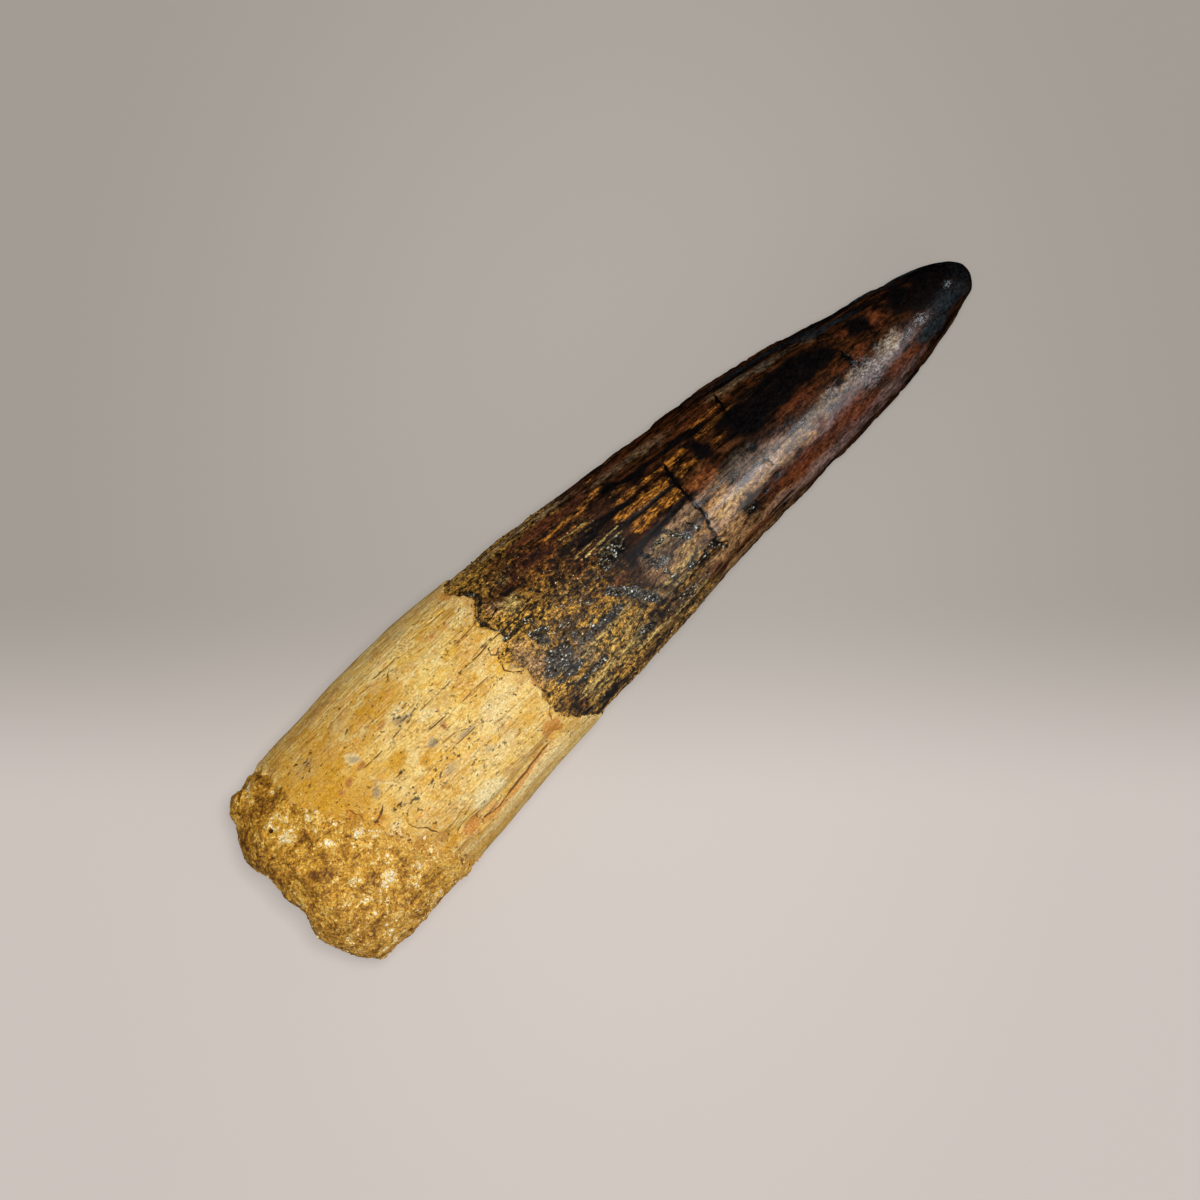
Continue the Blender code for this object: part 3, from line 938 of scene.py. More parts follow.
@dataclass(frozen=True)
class GrainFinish:
    """The finish of small grains, each with a tone of its own."""

    kind: GrainKind

    def tones(self) -> tuple[Tone, Tone, Tone]:
        """The darkest, middle and lightest tones."""
        if self.kind is GrainKind.SAND:
            return tone(112, 68, 12), tone(199, 146, 48), tone(253, 234, 174)
        return tone(6, 6, 7), tone(46, 38, 26), tone(140, 140, 130)

    def material(self) -> bpy.types.Material:
        """The grains' material."""
        rough = 0.45 if self.kind is GrainKind.SAND else 0.5
        paint = Paint(f"{self.kind.value}_grains", rough, 0.5)
        own = paint.field("own_tone")
        darkest, middle, lightest = self.tones()
        paint.colour = paint.blend(own.rise(0.0, 0.5), darkest, middle)
        paint.layer(own.rise(0.6, 0.98), lightest)
        grit = paint.cloud(0.12)
        return paint.finish(rough + 0.3 * (grit - 0.5), grit, 0.02)


@dataclass(frozen=True)
class GrainBed:
    """Grains that stick to a surface, joined as one mesh. Each is a squashed and cut ball.

    Their number is 2 to the power of doublings. Spread is how much the radius varies, and sunk how
    deep they sit in the surface, in radii.
    """

    name: str
    kind: GrainKind
    seed: int
    doublings: int
    radius: float
    spread: float
    sunk: Pair
    scatter: float = 0.08
    tone_spread: float = 0.22
    squash: Pair = (0.55, 1.3)
    cut: Pair = (0.8, 1.2)

    def build(
        self, skin: Skin, places: np.ndarray, weight: np.ndarray, light: np.ndarray
    ) -> bpy.types.Object:
        """Scatters the grains.

        Args:
            skin: The surface's rings.
            places: The surface's places.
            weight: How thickly the grains lie at each place.
            light: How light they are there.

        Returns:
            The joined grains.
        """
        chance = np.random.default_rng(self.seed)
        count = 2**self.doublings
        facing = skin.facing(places)
        area = np.linalg.norm(facing, axis=1)
        likely = np.maximum(weight, 0.0) * area
        picked = chance.choice(len(places), count, p=likely / likely.sum())
        outward = facing[picked] / area[picked][:, None]
        radius = self.radius * np.exp(self.spread * chance.standard_normal(count))
        depth = chance.uniform(*self.sunk, count) * radius
        strayed = chance.uniform(-self.scatter, self.scatter, (count, 3))
        middles = places[picked] - outward * depth[:, None] + strayed
        shade = light[picked] + self.tone_spread * chance.standard_normal(count)
        stretched = chance.uniform(*self.squash, (count, 1, 3))
        turned = np.linalg.qr(chance.standard_normal((count, 3, 3)))[0]
        bed = bmesh.new()
        corner = bed.verts.layers.int.new("corner")
        bmesh.ops.create_icosphere(bed, subdivisions=1, radius=1.0)
        ball = np.array([vertex.co[:] for vertex in bed.verts])
        for i, vertex in enumerate(bed.verts):
            vertex[corner] = i
        for _ in range(self.doublings):
            bmesh.ops.duplicate(bed, geom=[*bed.verts, *bed.edges, *bed.faces])
        cut = ball[None] * stretched * chance.uniform(*self.cut, (count, len(ball), 1))
        spots = middles[:, None] + np.einsum("gij,gkj->gki", turned, cut) * radius[:, None, None]
        flat = skin.form.in_row_frame(spots.reshape(-1, 3))
        grain = np.arange(len(bed.verts)) // len(ball)
        corners = np.array([vertex[corner] for vertex in bed.verts])
        for vertex, spot in zip(bed.verts, flat[grain * len(ball) + corners].tolist()):
            vertex.co = spot
        bed.verts.layers.int.remove(corner)
        bed.normal_update()
        piece = shown(self.name, bed)
        keep_values(piece.data, "own_tone", np.clip(shade, 0.0, 1.0)[grain])
        return piece


@dataclass
class ToothSurface:
    """What the crown, the root and the crust share: the form, and how one sinks under another.

    The ragged edges are layers of noise.
    """

    form: ToothForm
    sunk: float = 0.9
    crust_ragged: Layers = ((0.9, 2.2), (0.5, 0.8), (0.2, 0.35))
    enamel_ragged: Layers = ((0.35, 1.1), (0.22, 0.45))
    held_to: float = 1.5

    def past_crust(self, skin: Skin) -> np.ndarray:
        """How far along past the crust's ragged edge each place is."""
        line = SmoothCurve(self.form.crust_edge).at(skin.angle)
        return skin.along - line - skin.lumpy(self.crust_ragged)

    def past_enamel_edge(self, skin: Skin) -> np.ndarray:
        """How far along past the root's ragged margin each place is. It is negative on the root."""
        line = SmoothCurve(self.form.enamel_edge).at(skin.angle)
        return skin.along - line - skin.lumpy(self.enamel_ragged)

    def moved(self, skin: Skin, swell: np.ndarray, relief: np.ndarray) -> np.ndarray:
        """The surface with its relief.

        Args:
            skin: The smooth surface.
            swell: How far each place moves straight away from the long axis.
            relief: How far each place then moves along the surface's normal.

        Returns:
            The places as (along, across, height).
        """
        held = rise(0.0, self.held_to, self.form.half_width(skin.along))
        away = np.stack((np.zeros(len(swell)), skin.sideways, skin.upwards), axis=1)
        places = skin.places + away * (swell * held)[:, None]
        places[:, 0] += self.form.end_relief(skin.places)
        return places + skin.outward(places) * (relief * held)[:, None]

    def covered(self, skin: Skin, names: Sequence[str]) -> Fields:
        """How far this surface's own marks of each name, and their twins, cover each place."""
        return {name: skin.cover(with_twins(getattr(self, name))) for name in names}

    def cracked(self, skin: Skin, cracks: Sequence[Stroke]) -> Fields:
        """The fields from which a shader draws thin cracks, and their twins, as lines."""
        offset, strength = skin.line_offset(with_twins(cracks))
        return {"line": offset, "line_strength": strength}

    def grooves(self, fields: Fields, fade: Pair) -> np.ndarray:
        """How deep each place lies in a thin crack, from 0 to 1. It fades out in half-widths."""
        return fields["line_strength"] * (1 - rise(*fade, np.abs(fields["line"])))

    def strew(
        self, bed: GrainBed, skin: Skin, places: np.ndarray, weight: np.ndarray, light: np.ndarray
    ) -> None:
        """Builds a bed of grains on the surface and dresses it.

        Args:
            bed: The grains.
            skin: The surface's rings.
            places: The surface's places.
            weight: How thickly the grains lie at each place.
            light: How light they are there.
        """
        grains = bed.build(skin, places, weight, light)
        self.dressed(grains, GrainFinish(bed.kind).material())

    def dressed(self, piece: bpy.types.Object, material: bpy.types.Material) -> bpy.types.Object:
        """Gives a piece its material, and says that it stands for the tooth."""
        piece.data.materials.append(material)
        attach(piece, BODY)
        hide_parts(CAD_NODE)
        log.info("%s: %d faces", piece.name, len(piece.data.polygons))
        return piece


@dataclass
class Crown(ToothSurface):
    """The crown: its mottled foot, its streaked and fluted sides, its keels and its worn tip."""

    steps: int = 384
    inside_from: float = 31.0
    step: float = 0.28
    step_width: float = 0.7
    recovers_over: float = 7.0
    pitted_to: float = 50.0
    pit_size: float = 2.4
    pit_depth: float = 0.3
    pit_share: float = 0.12
    pits_fade: float = 8.0
    flutes: int = 18
    flute_depth: float = 0.07
    flutes_full_by: float = 54.0
    flutes_fade: Pair = (55.0, 66.0)
    keel: Pair = (44.0, 60.0)
    keel_height: float = 0.26
    keel_half_angle: float = 9.0
    keel_fade: Pair = (88.0, 94.0)
    keel_chip_size: float = 3.2
    keel_nicks: Pair = (0.8, 0.4)
    fine_tip_from: float = 87.0
    fine_tip_rings: int = 34
    foot_fade: Pair = (45.5, 51.0)
    foot_ragged: Pair = (2.5, 1.5)
    foot_short_below: float = 6.0
    dull_fade: Pair = (46.0, 60.0)
    margin_width: float = 5.0
    striae: Layers = ((0.035, 0.45, 12.0), (0.03, 1.3, 5.0))
    polish_fade: Pair = (56.0, 64.0)
    worn_fade: Pair = (90.0, 95.0)
    groove_depth: float = 0.07
    groove_fade: Pair = (0.6, 1.9)
    surfaces_over: Pair = (-0.9, -0.1)
    foot_spacing: float = 0.21
    side_spacing: float = 0.32
    crystals: GrainBed = GrainBed(
        "margin_crystals", GrainKind.CRYSTAL, SEED, 11, radius=0.075, spread=0.45, sunk=(0.3, 1.0)
    )
    painted: tuple[str, ...] = (
        "ash_and_sheen", "tan", "painted_sheen", "rust", "olive", "amber", "slate_and_sheen", "black", "crackle", "dim", "glint"
    )
    cracks: tuple[Stroke, ...] = (
        Stroke(((58.3, -4.4), (58, -2.6), (58.1, -0.6), (57.9, 1), (57.7, 2.4), (57.6, 3.7)), 0.22),
        Stroke(((67, -6.1), (66.9, -4.6)), 0.2), Stroke(((66.25, 2.1), (66.6, 2.95)), 0.1),
        Stroke(((79.6, -0.2), (79.9, 1.1)), 0.25),
        Stroke(((41.6, -0.5), (43, -0.2), (44.6, -0.35)), 0.07, 0.7),
        Stroke(((33.2, -3.6), (35.6, -3.65), (38.6, -3.7)), 0.09),
        Stroke(((34, -5.3), (35.2, -5.5), (36.2, -5.7)), 0.08),
        Stroke(((34.6, -7.6), (35.9, -6.9), (36.1, -6), (35.9, -5.6)), 0.08, 0.8),
        Stroke(((38.4, -5.4), (38.8, -4.4)), 0.09, 0.7),
        Stroke(((35.9, 4), (37.4, 4), (37.7, 4.5)), 0.1, 0.9),
        Stroke(((44.4, 6), (45.2, 5.5), (46.2, 5.3)), 0.1, 0.8),
        Stroke(((56.7, 4.5), (57.6, 5.4)), 0.14), Stroke(((41, -9.9), (45.5, -9.4)), 0.1),
        Stroke(((53.9, 0.3), (54.3, 1.4), (55.2, 2.3)), 0.09, 0.6),
    )
    # Ash marks: grey-brown stains near the foot. From about 57 along onward, along the edges and on
    # the gloss band, they are painted sheen and highlight.
    ash_and_sheen: Marks = (
        *stains(
            (42, -10, 8, 0.7, 0.7), (57, -7.6, 7, 0.8, 0.5, 0.5, 3),
            (70.5, -5.6, 5.5, 0.6, 0.55, 0.5, 3), (77.5, -4.4, 4, 0.9, 0.3, 0.9, 4),
            (35.1, 0.6, 1.4, 2.4, 0.75, 0.9), (83.4, 2.2, 1.8, 0.7, 0.9, 0.9),
            (39.6, 3.8, 1.4, 1.3, 0.7, 0.8), (64.2, 0.4, 3, 0.8, 0.6, 0.9),
            (74.5, 2.2, 4, 0.7, 0.55), (79.5, 2.4, 4.2, 0.9, 0.55),
            (48.6, 4.6, 1.9, 0.6, 0.8, 0.5, 40), (80.5, 5.2, 2.2, 0.5, 0.6), (66, 1.2, 4, 0.7, 0.5),
        ),
        Stroke(((50.6, 1.3), (54, 1.2), (57.6, 1)), 1, 0.6, 0.9),
        Stroke(((39.4, 3.5), (43, 3.5)), 0.3, 0.7),
    )
    # Tan stains. The long ones along the lower edge, 6 to 7.4 across, are painted light: they
    # lighten the edge where it turns away from the overhead lamp.
    tan: Marks = (
        *stains(
            (60, 2.5, 2.4, 1.7, 0.9, 0.7), (50.4, 3, 1.6, 1.4, 0.5, 0.9),
            (59.4, 4.7, 2.4, 0.8, 0.75), (66, 2.9, 4, 1.1, 0.62), (71, 3.2, 4, 0.9, 0.5),
            (41, -0.4, 4.4, 2.2, 0.34, 0.9), (34.9, -1.6, 1.3, 1.6, 0.45, 0.9),
            (35.2, 1, 1.6, 4, 0.5, 0.9), (62, -2, 6, 1.2, 0.2, 0.9), (60.2, -0.3, 2, 1, 0.5),
            (55.5, 0.4, 2.4, 0.8, 0.5, 0.9), (57, 6.2, 8, 1.3, 0.62, 0.9),
            (67, 6.1, 7, 1, 0.75, 0.9), (58, 7.4, 9, 1, 0.6, 0.9), (36, -5.9, 1.2, 0.9, 0.7, 0.7),
        ),
        Stroke(((51.4, 3.5), (54, 3.3), (57.6, 3.2)), 0.9, 0.6, 0.9),
    )
    # Mauve marks: painted sheen along the lower edge near the tip and on the gloss band.
    painted_sheen: Marks = stains(
        (70, 6.1, 8, 0.9, 0.85, 0.9), (80, 5.4, 7, 1, 0.7, 0.9), (74, 6.5, 10, 0.7, 0.6, 0.9),
        (74, 3.9, 5, 0.9, 0.7, 0.9), (82, 3, 5, 1, 0.6, 0.9), (66, 1, 5, 1, 0.4, 0.9),
    )
    # Slate marks: painted sheen on the tip and along the upper edge, over the tip's own blue-black.
    slate_and_sheen: Marks = stains(
        (91.2, 2.9, 3, 1.1, 0.85, 0.8), (88.2, 3.9, 2.4, 1, 0.9, 0.7),
        (94.2, 1.4, 0.9, 2, 0.5, 0.9), (92.4, 3.4, 2.4, 0.8, 0.6, 0.9),
        (79, -4, 4, 0.6, 0.8, 0.8, 3), (73, -6, 8, 0.6, 0.7, 0.9, 4),
        (84, -3.7, 5, 0.6, 0.8, 0.9, 12), (72.5, -5.2, 4, 0.5, 0.6, 0.8, 3),
        (64.5, 0.3, 2.6, 0.7, 0.6, 0.8), (48.3, 4.6, 1, 0.7, 0.7, 0.8, 40),
    )
    matt: Marks = stains(
        (72.8, 3, 0.8, 1, 0.5, 0.8), (62.6, 3.4, 1, 0.7, 0.4, 0.9),
    )
    # Glint marks: polished spots, smoother enamel with a painted highlight tone on them.
    glint: Marks = (
        *stains(
            (66, 2.5, 1.6, 0.6, 0.8, 0.8), (71.5, 2.2, 2, 0.5, 0.4, 0.8),
            (76.2, 2.1, 1.4, 0.5, 1, 0.7), (80.4, 2.4, 1.5, 1.1, 1, 0.7),
            (83.6, 2.1, 1.5, 0.6, 0.8, 0.8), (88, 2.5, 0.8, 0.5, 0.8, 0.7),
            (92.3, 1.9, 0.5, 0.3, 0.9, 0.7), (62.4, 2.4, 1.6, 0.6, 0.3, 0.8),
            (60.3, 2.6, 1.6, 0.7, 0.3, 0.8), (51.5, 2.4, 0.8, 0.5, 0.8, 0.7),
            (55, 2.4, 0.6, 0.6, 0.8, 0.7),
        ),
        Stroke(((82, 2.8), (84, 2.7), (86.1, 2.5)), 0.25, 1),
    )
    olive: Marks = (
        *stains(
            (42, 6.4, 5, 2.2, 0.4, 0.9), (53, 4.8, 4.5, 1.8, 0.32, 0.9), (45, 3.6, 4, 1, 0.35, 0.9),
            (37.4, -5.2, 1.3, 1.1, 0.75, 0.7), (38.6, -7.5, 1.6, 0.8, 0.3, 0.8),
            (52.9, 0.8, 1.2, 0.5, 0.4), (54, 3, 1.4, 0.35, 0.55), (60.4, 2.6, 2.2, 1, 0.45),
            (38.5, 7.6, 2.8, 1, 0.4),
        ),
        Stroke(((36.5, 6.9), (39.5, 6.6), (43, 6.3), (45.5, 6.1)), 0.5, 0.66),
        Stroke(((39, 3.9), (43, 3.6), (46.5, 3.4)), 0.3, 0.6),
        Stroke(((42, 4.9), (46.5, 4.7)), 0.35, 0.5), Stroke(((44, 7.3), (48, 7.2)), 0.35, 0.7),
        Stroke(((49, 7.2), (53.5, 6.9)), 0.4, 0.65),
        Stroke(((50.4, 4.3), (52.5, 4.1), (54.5, 3.9)), 0.3, 0.65),
        Stroke(((50.8, 5.2), (53, 5.1)), 0.2, 0.5),
        Stroke(((46.2, -3.2), (48, -3.35), (50.8, -3.2)), 0.13, 0.9),
        Stroke(((45.2, -3.9), (47.6, -3.95)), 0.09, 0.8),
        Stroke(((47.4, -2.6), (49, -2.7), (50.6, -2.55)), 0.09, 0.7),
        Stroke(((44.6, -4.7), (46.8, -4.6)), 0.08, 0.7),
        Stroke(((45.5, -6.3), (47, -6.1), (48.6, -5.9)), 0.1, 0.8),
    )
    rust: Marks = stains(
        (69.5, 5.1, 5, 1.5, 0.85, 0.9), (76.5, 4.8, 3.6, 1.3, 0.85, 0.9),
        (72.7, 3.3, 1, 0.8, 0.8, 0.8), (83.6, 4.4, 3.2, 0.9, 0.7, 0.8),
        (73, -0.1, 3.4, 1, 0.62, 0.9), (78, 0.5, 2.2, 0.8, 0.55, 0.9), (84.6, -0.6, 1.1, 1.3, 0.66),
        (81.3, 0.5, 1.4, 0.5, 0.7), (80.6, -2, 0.9, 0.6, 0.6), (61, 6.4, 5, 0.9, 0.65, 0.9),
        (60.2, -0.8, 1.9, 1, 0.8), (46.8, 0.9, 1.4, 0.5, 0.6), (54.5, 6.7, 2.6, 0.6, 0.7),
        (45, -8.6, 6, 0.8, 0.8), (43, -6.6, 5, 1.6, 0.5, 0.9), (40.5, -0.6, 4, 2, 0.26, 0.9),
        (54, -8.3, 7, 0.7, 0.6, 0.9), (62.5, -6.9, 5, 0.7, 0.6, 0.9, 3), (64, -5.6, 3, 0.6, 0.6),
    )
    amber: Marks = (
        *stains(
            (80.6, -1.3, 0.7, 0.4, 0.25, 0.5, 20), (81, 0.3, 0.8, 0.3, 0.2, 0.5, 20),
            (53, -5.9, 1.6, 0.3, 0.5), (55, -3.4, 5, 2.4, 0.3, 0.9), (63, -4.6, 4, 0.7, 0.24, 0.9),
            (46, -5.4, 4, 2.2, 0.3, 0.9), (55, 4.2, 4.2, 1.8, 0.3, 0.9),
            (59.8, 1.2, 2.2, 3.6, 0.3, 0.9), (42, -0.6, 4.5, 1.8, 0.3, 0.9),
            (40.5, -5.6, 2.4, 0.8, 0.4),
        ),
        Stroke(((51.3, -3.8), (54, -3.5), (57.6, -3)), 0.5, 0.9),
        Stroke(((52, -1.6), (54.5, -2), (57.6, -1.6)), 0.5, 0.9),
        Stroke(((44, -7.3), (48.5, -7.1), (52, -7.5)), 0.5, 0.62),
        Stroke(((52.5, -5), (55.5, -4.85), (58.5, -4.6), (61.6, -4.35)), 0.22, 0.85),
        Stroke(((58.5, -3), (61.2, -2.75)), 0.45, 0.5),
        Stroke(((58.6, -4.2), (61.8, -4.2)), 0.28, 0.55),
        Stroke(((62.8, -4.4), (64.5, -4.3), (66.2, -4.2)), 0.3, 0.5),
        Stroke(((62.5, -5.5), (66, -5.4)), 0.35, 0.55),
        Stroke(((67.1, -4.3), (69, -4), (70.8, -3.9)), 0.22, 0.5),
        Stroke(((62.8, -2.9), (65.2, -2.7)), 0.2, 0.4),
        Stroke(((50, -8.7), (55, -8.8), (60, -8.4)), 0.16, 0.6),
    )
    crackle: Marks = (
        *stains(
            (37, 2.7, 1.4, 1.3, 0.8, 0.8), (37.2, 4.4, 1.8, 0.6, 0.8, 0.8),
            (48.2, -1.6, 2.3, 0.9, 0.6, 0.9), (46, 6.5, 1.1, 0.5, 0.7, 0.8),
            (38, 8.6, 3, 0.6, 0.36, 0.8), (39.5, 1.8, 4.5, 3.4, 0.34, 0.9),
            (37.4, -0.6, 1, 1.4, 0.5, 0.8), (43, -1, 3.4, 1.6, 0.34, 0.9),
            (51.2, 2.4, 0.7, 0.5, 0.5, 0.9), (53, 6.6, 3, 1, 0.36, 0.9),
            (54.8, 2.2, 0.5, 0.5, 0.5, 0.9), (62.2, 4.6, 1.2, 0.7, 0.4, 0.9),
            (50.5, 7.4, 1.4, 0.6, 0.4, 0.9), (57, 4.8, 0.5, 0.5, 0.5, 0.9),
        ),
        Stroke(((34.9, -9), (35.4, -8.4), (35.6, -7.8), (35, -7.2)), 0.26, 0.8),
        Stroke(((34.6, -6.8), (34, -6.4), (33.9, -5.8), (34.3, -5.1)), 0.22, 0.7),
        Stroke(((34.2, -4.7), (34.3, -4.2), (34.7, -3.6), (34.6, -3)), 0.24, 0.75),
        Stroke(((34.9, -2.7), (36.2, -2.8), (38, -2.6)), 0.3, 0.6),
        Stroke(((37, 5.8), (40.8, 5.5)), 0.25, 0.7), Stroke(((40.2, 2.8), (45, 2.8)), 0.35, 0.8),
        Stroke(((45.6, 0.9), (46.8, 2), (47.8, 3.2), (48.6, 4.8)), 0.5, 0.8, 0.8),
        Stroke(((50.4, 0.4), (51.2, 1.9), (52.7, 2.6)), 0.26, 0.8, 0.8),
        Stroke(((53.7, 0.3), (54.4, 1.5), (55.4, 2.6)), 0.24, 0.85, 0.8),
        Stroke(((51.6, 0.6), (53, 0.9)), 0.16, 0.65, 0.8),
        Stroke(((51, 3.3), (51.5, 4.4), (51.2, 5.4)), 0.2, 0.7, 0.8),
        Stroke(((53.4, 4.5), (54.5, 5.3), (55.4, 4.9)), 0.22, 0.75, 0.8),
        Stroke(((56.2, 4.6), (57, 5.2), (57.2, 5.9)), 0.22, 0.7, 0.8),
        Stroke(((49.6, 6), (51, 6.6), (52.6, 6.3)), 0.22, 0.7, 0.8),
        Stroke(((54.6, 6.9), (56, 6.6)), 0.18, 0.6, 0.8),
        Stroke(((55.9, 1), (56.6, 2.6)), 0.2, 0.7, 0.8),
    )
    dim: Marks = stains(
        (44, -7.2, 7.5, 2.6, 1, 0.8), (40, -8.6, 5, 1.6, 0.8, 0.8), (46.5, -3.8, 5, 2.4, 1, 0.8),
        (40.5, -4.2, 3, 1.6, 0.6, 0.8), (35.6, 7.4, 1.7, 1.8, 1, 0.8),
        (46.5, 0.2, 3.4, 1.6, 0.8, 0.8), (42, 8.7, 6, 0.8, 0.8, 0.8),
        (50.5, 6.6, 6.5, 2.2, 0.9, 0.8), (42, -5.8, 4.5, 1.6, 0.9, 0.8), (48, 3.4, 3, 5, 0.65, 0.8),
        (38.2, 3, 2.2, 2, 0.5, 0.8), (52, -6, 4, 1.6, 0.7, 0.8), (38.4, -6.6, 3, 1.6, 1, 0.8),
    )
    black: Marks = (
        *stains(
            (52.9, -6.9, 1.2, 0.7), (55.6, -6, 2.8, 0.5), (60.5, -5.6, 3, 0.4), (63, -5, 1.3, 0.5),
            (50.4, -4.6, 3.4, 0.35), (48.6, -5.4, 1.8, 0.3), (57.8, -3.2, 0.55, 1.1),
            (62.1, -2.9, 0.9, 1.5), (61.5, -4.3, 0.5, 0.5), (69, -2.6, 4.6, 1.5),
            (67.8, -1.6, 1.8, 1.1), (75.5, -2.2, 4.6, 1.2), (74, -3.4, 5, 0.7),
            (78.4, -1.3, 1.8, 0.7), (79.6, 0.6, 0.35, 0.6), (82.2, -1.5, 1.5, 1.1),
            (87.5, -0.9, 1.8, 1.7), (87, 0.4, 1.1, 0.9, 0.8), (91.5, 0.2, 3.8, 2),
            (91.8, 1.4, 4.4, 3.6, 0.85, 0.9), (91.5, -1, 4, 1.6), (90.5, 1.4, 3.4, 1, 0.8),
            (80.6, 4.7, 1.6, 0.7, 0.6, 0.9), (89, 4.8, 2.6, 0.8, 0.9, 0.9), (66.1, 0.35, 0.6, 0.45),
            (66.4, -0.3, 2.6, 0.6, 0.6, 0.9), (62.8, -0.2, 1.2, 0.5, 0.5, 0.9),
            (71.4, 4.5, 0.9, 0.5, 0.55, 0.9), (82, 5.2, 0.9, 0.4, 0.6, 0.9),
            (45.4, 6.4, 1.4, 0.8, 0.6, 0.9), (49, 7.7, 4, 0.6, 0.62, 0.9), (62.1, 4.8, 0.9, 0.5),
            (64, 4.4, 0.45, 0.35), (66, 4.1, 0.6, 0.35), (67.2, -6.9, 2.6, 0.35, 0.9),
            (48.3, -1.6, 1.4, 0.5, 0.7), (47.6, -4.6, 2.8, 1, 0.62, 0.9),
            (48.6, -1, 2.6, 1.3, 0.6, 0.9), (47.6, 2.6, 1.6, 2.2, 0.5, 0.9),
            (50.6, 5.6, 1, 1.4, 0.4, 0.9), (37.3, 2.9, 0.6, 0.5, 0.7),
            (47.4, 2.5, 0.9, 0.4, 0.8, 0.5, 50), (36.9, 4.5, 0.8, 0.3, 0.7),
            (39.4, 5.5, 1.2, 0.25, 0.7), (48.7, 5.5, 0.8, 0.3), (46.1, 6.5, 0.8, 0.45),
            (42.7, 3, 2, 0.25, 0.9), (38.6, 8.7, 2.4, 0.5), (37.8, 9.3, 3.2, 0.6, 1, 0.5, -3),
            (45.4, -5.2, 1.6, 0.4, 0.8), (47.4, -4.3, 1.8, 0.35, 0.9), (42.6, -6.9, 1.4, 0.5, 0.6),
            (46.4, -6.8, 1.8, 0.3, 0.7), (35.9, 8.5, 0.9, 0.5), (35, -8.9, 0.5, 0.3),
            (37.6, -6.4, 0.9, 0.3, 0.8, 0.5, 15), (64.5, 6.4, 2.6, 0.3, 0.8), (83, -3, 4, 0.6, 0.8),
            (44, -10, 3, 0.25, 0.8),
        ),
        Stroke(((50.8, -3.3), (52, -2.7), (55, -2.7), (58, -2.5)), 0.2),
        Stroke(((49.5, -0.1), (52, -0.2), (55, -0.4), (58, -0.7)), 0.26, 0.9),
        Stroke(((68, -6.7), (74, -5.7), (80, -4.3), (86, -3.1), (91, -1.6)), 0.75, 0.85, 0.9),
    )

    def rings(self) -> list[Pair]:
        """Fine rings over the mottled foot and the tip, and wider ones between."""
        rings = closing_rings(self.inside_from, 8, opening=True)
        rings += even_rings(self.inside_from, self.pitted_to, self.foot_spacing)
        rings += even_rings(self.pitted_to, self.fine_tip_from, self.side_spacing)
        length, count = self.form.length, self.fine_tip_rings
        tip = length - self.fine_tip_from
        rings += [(length - tip * (i / count) ** 2, 1.0) for i in range(count, 0, -1)]
        return [*rings, (length, 1.0)]

    def keel_relief(self, skin: Skin) -> np.ndarray:
        """The keels along the crown's two edges, with chips out of them."""
        off_keel = np.minimum(np.abs(skin.angle - 90), np.abs(skin.angle + 90))
        share = rise(*self.keel, skin.along) * bump(off_keel, self.keel_half_angle)
        share *= 1 - rise(*self.keel_fade, skin.along)
        side = np.copysign(self.form.length, skin.angle)
        line = np.stack((skin.along, side, np.zeros(len(side))), axis=1)
        chipped = np.maximum(lumps(line, self.keel_chip_size), 0.0)
        large, small = (lumps(line, size) for size in self.keel_nicks)
        nicked = np.maximum(large - 0.15, 0.0) + 0.7 * np.maximum(small - 0.2, 0.0)
        return share * self.keel_height * (1 - 2 * chipped - 0.7 * nicked)

    def swell(self, skin: Skin, past: np.ndarray) -> np.ndarray:
        """The larger shapes, as the solid has them: the step, pits, flutes and keels."""
        step = rise(-self.step_width / 2, self.step_width / 2, past)
        recovers = 1 - rise(0.0, self.recovers_over, past)
        fade_from = self.pitted_to - self.pits_fade
        pitted = rise(0.0, 1.0, past) * (1 - rise(fade_from, self.pitted_to, skin.along))
        pits = pitted * self.pit_depth * np.maximum(skin.lumps(self.pit_size) - self.pit_share, 0.0)
        fluted = rise(fade_from, self.flutes_full_by, skin.along)
        fluted *= 1 - rise(*self.flutes_fade, skin.along)
        flutes = fluted * self.flute_depth * np.cos(self.flutes * np.radians(skin.angle))
        return flutes - self.step * step * recovers - pits + self.keel_relief(skin)

    def foot(self, skin: Skin) -> np.ndarray:
        """How far the mottled foot covers each place. It is weaker above and ends earlier below."""
        size, height = self.foot_ragged
        short = self.foot_short_below * rise(0.45, 0.8, skin.sideways)
        reach = skin.along + height * skin.lumps(size) - short
        return (1 - rise(*self.foot_fade, reach)) * (1 - 0.3 * rise(0.55, 0.8, -skin.sideways))

    def relief(self, skin: Skin, fields: Fields) -> np.ndarray:
        """The fine shapes: corroded pits at the foot, striae, cracks and the tip's wear."""
        corroded = skin.hollows(0.2, 0.05, 0.75) + 0.1 * skin.lumps(0.4)
        striae = skin.lumpy(self.striae) * (1 - 0.65 * rise(*self.polish_fade, skin.along))
        dents = skin.hollows(0.07, 0.2, 2.0, 1.5)
        grooves = self.groove_depth * self.grooves(fields, self.groove_fade)
        worn = rise(*self.worn_fade, skin.along) * 0.12 * skin.lumps(1.6)
        relief = striae - fields["foot"] * corroded - dents - grooves
        return relief - 0.05 * fields["black"] - worn

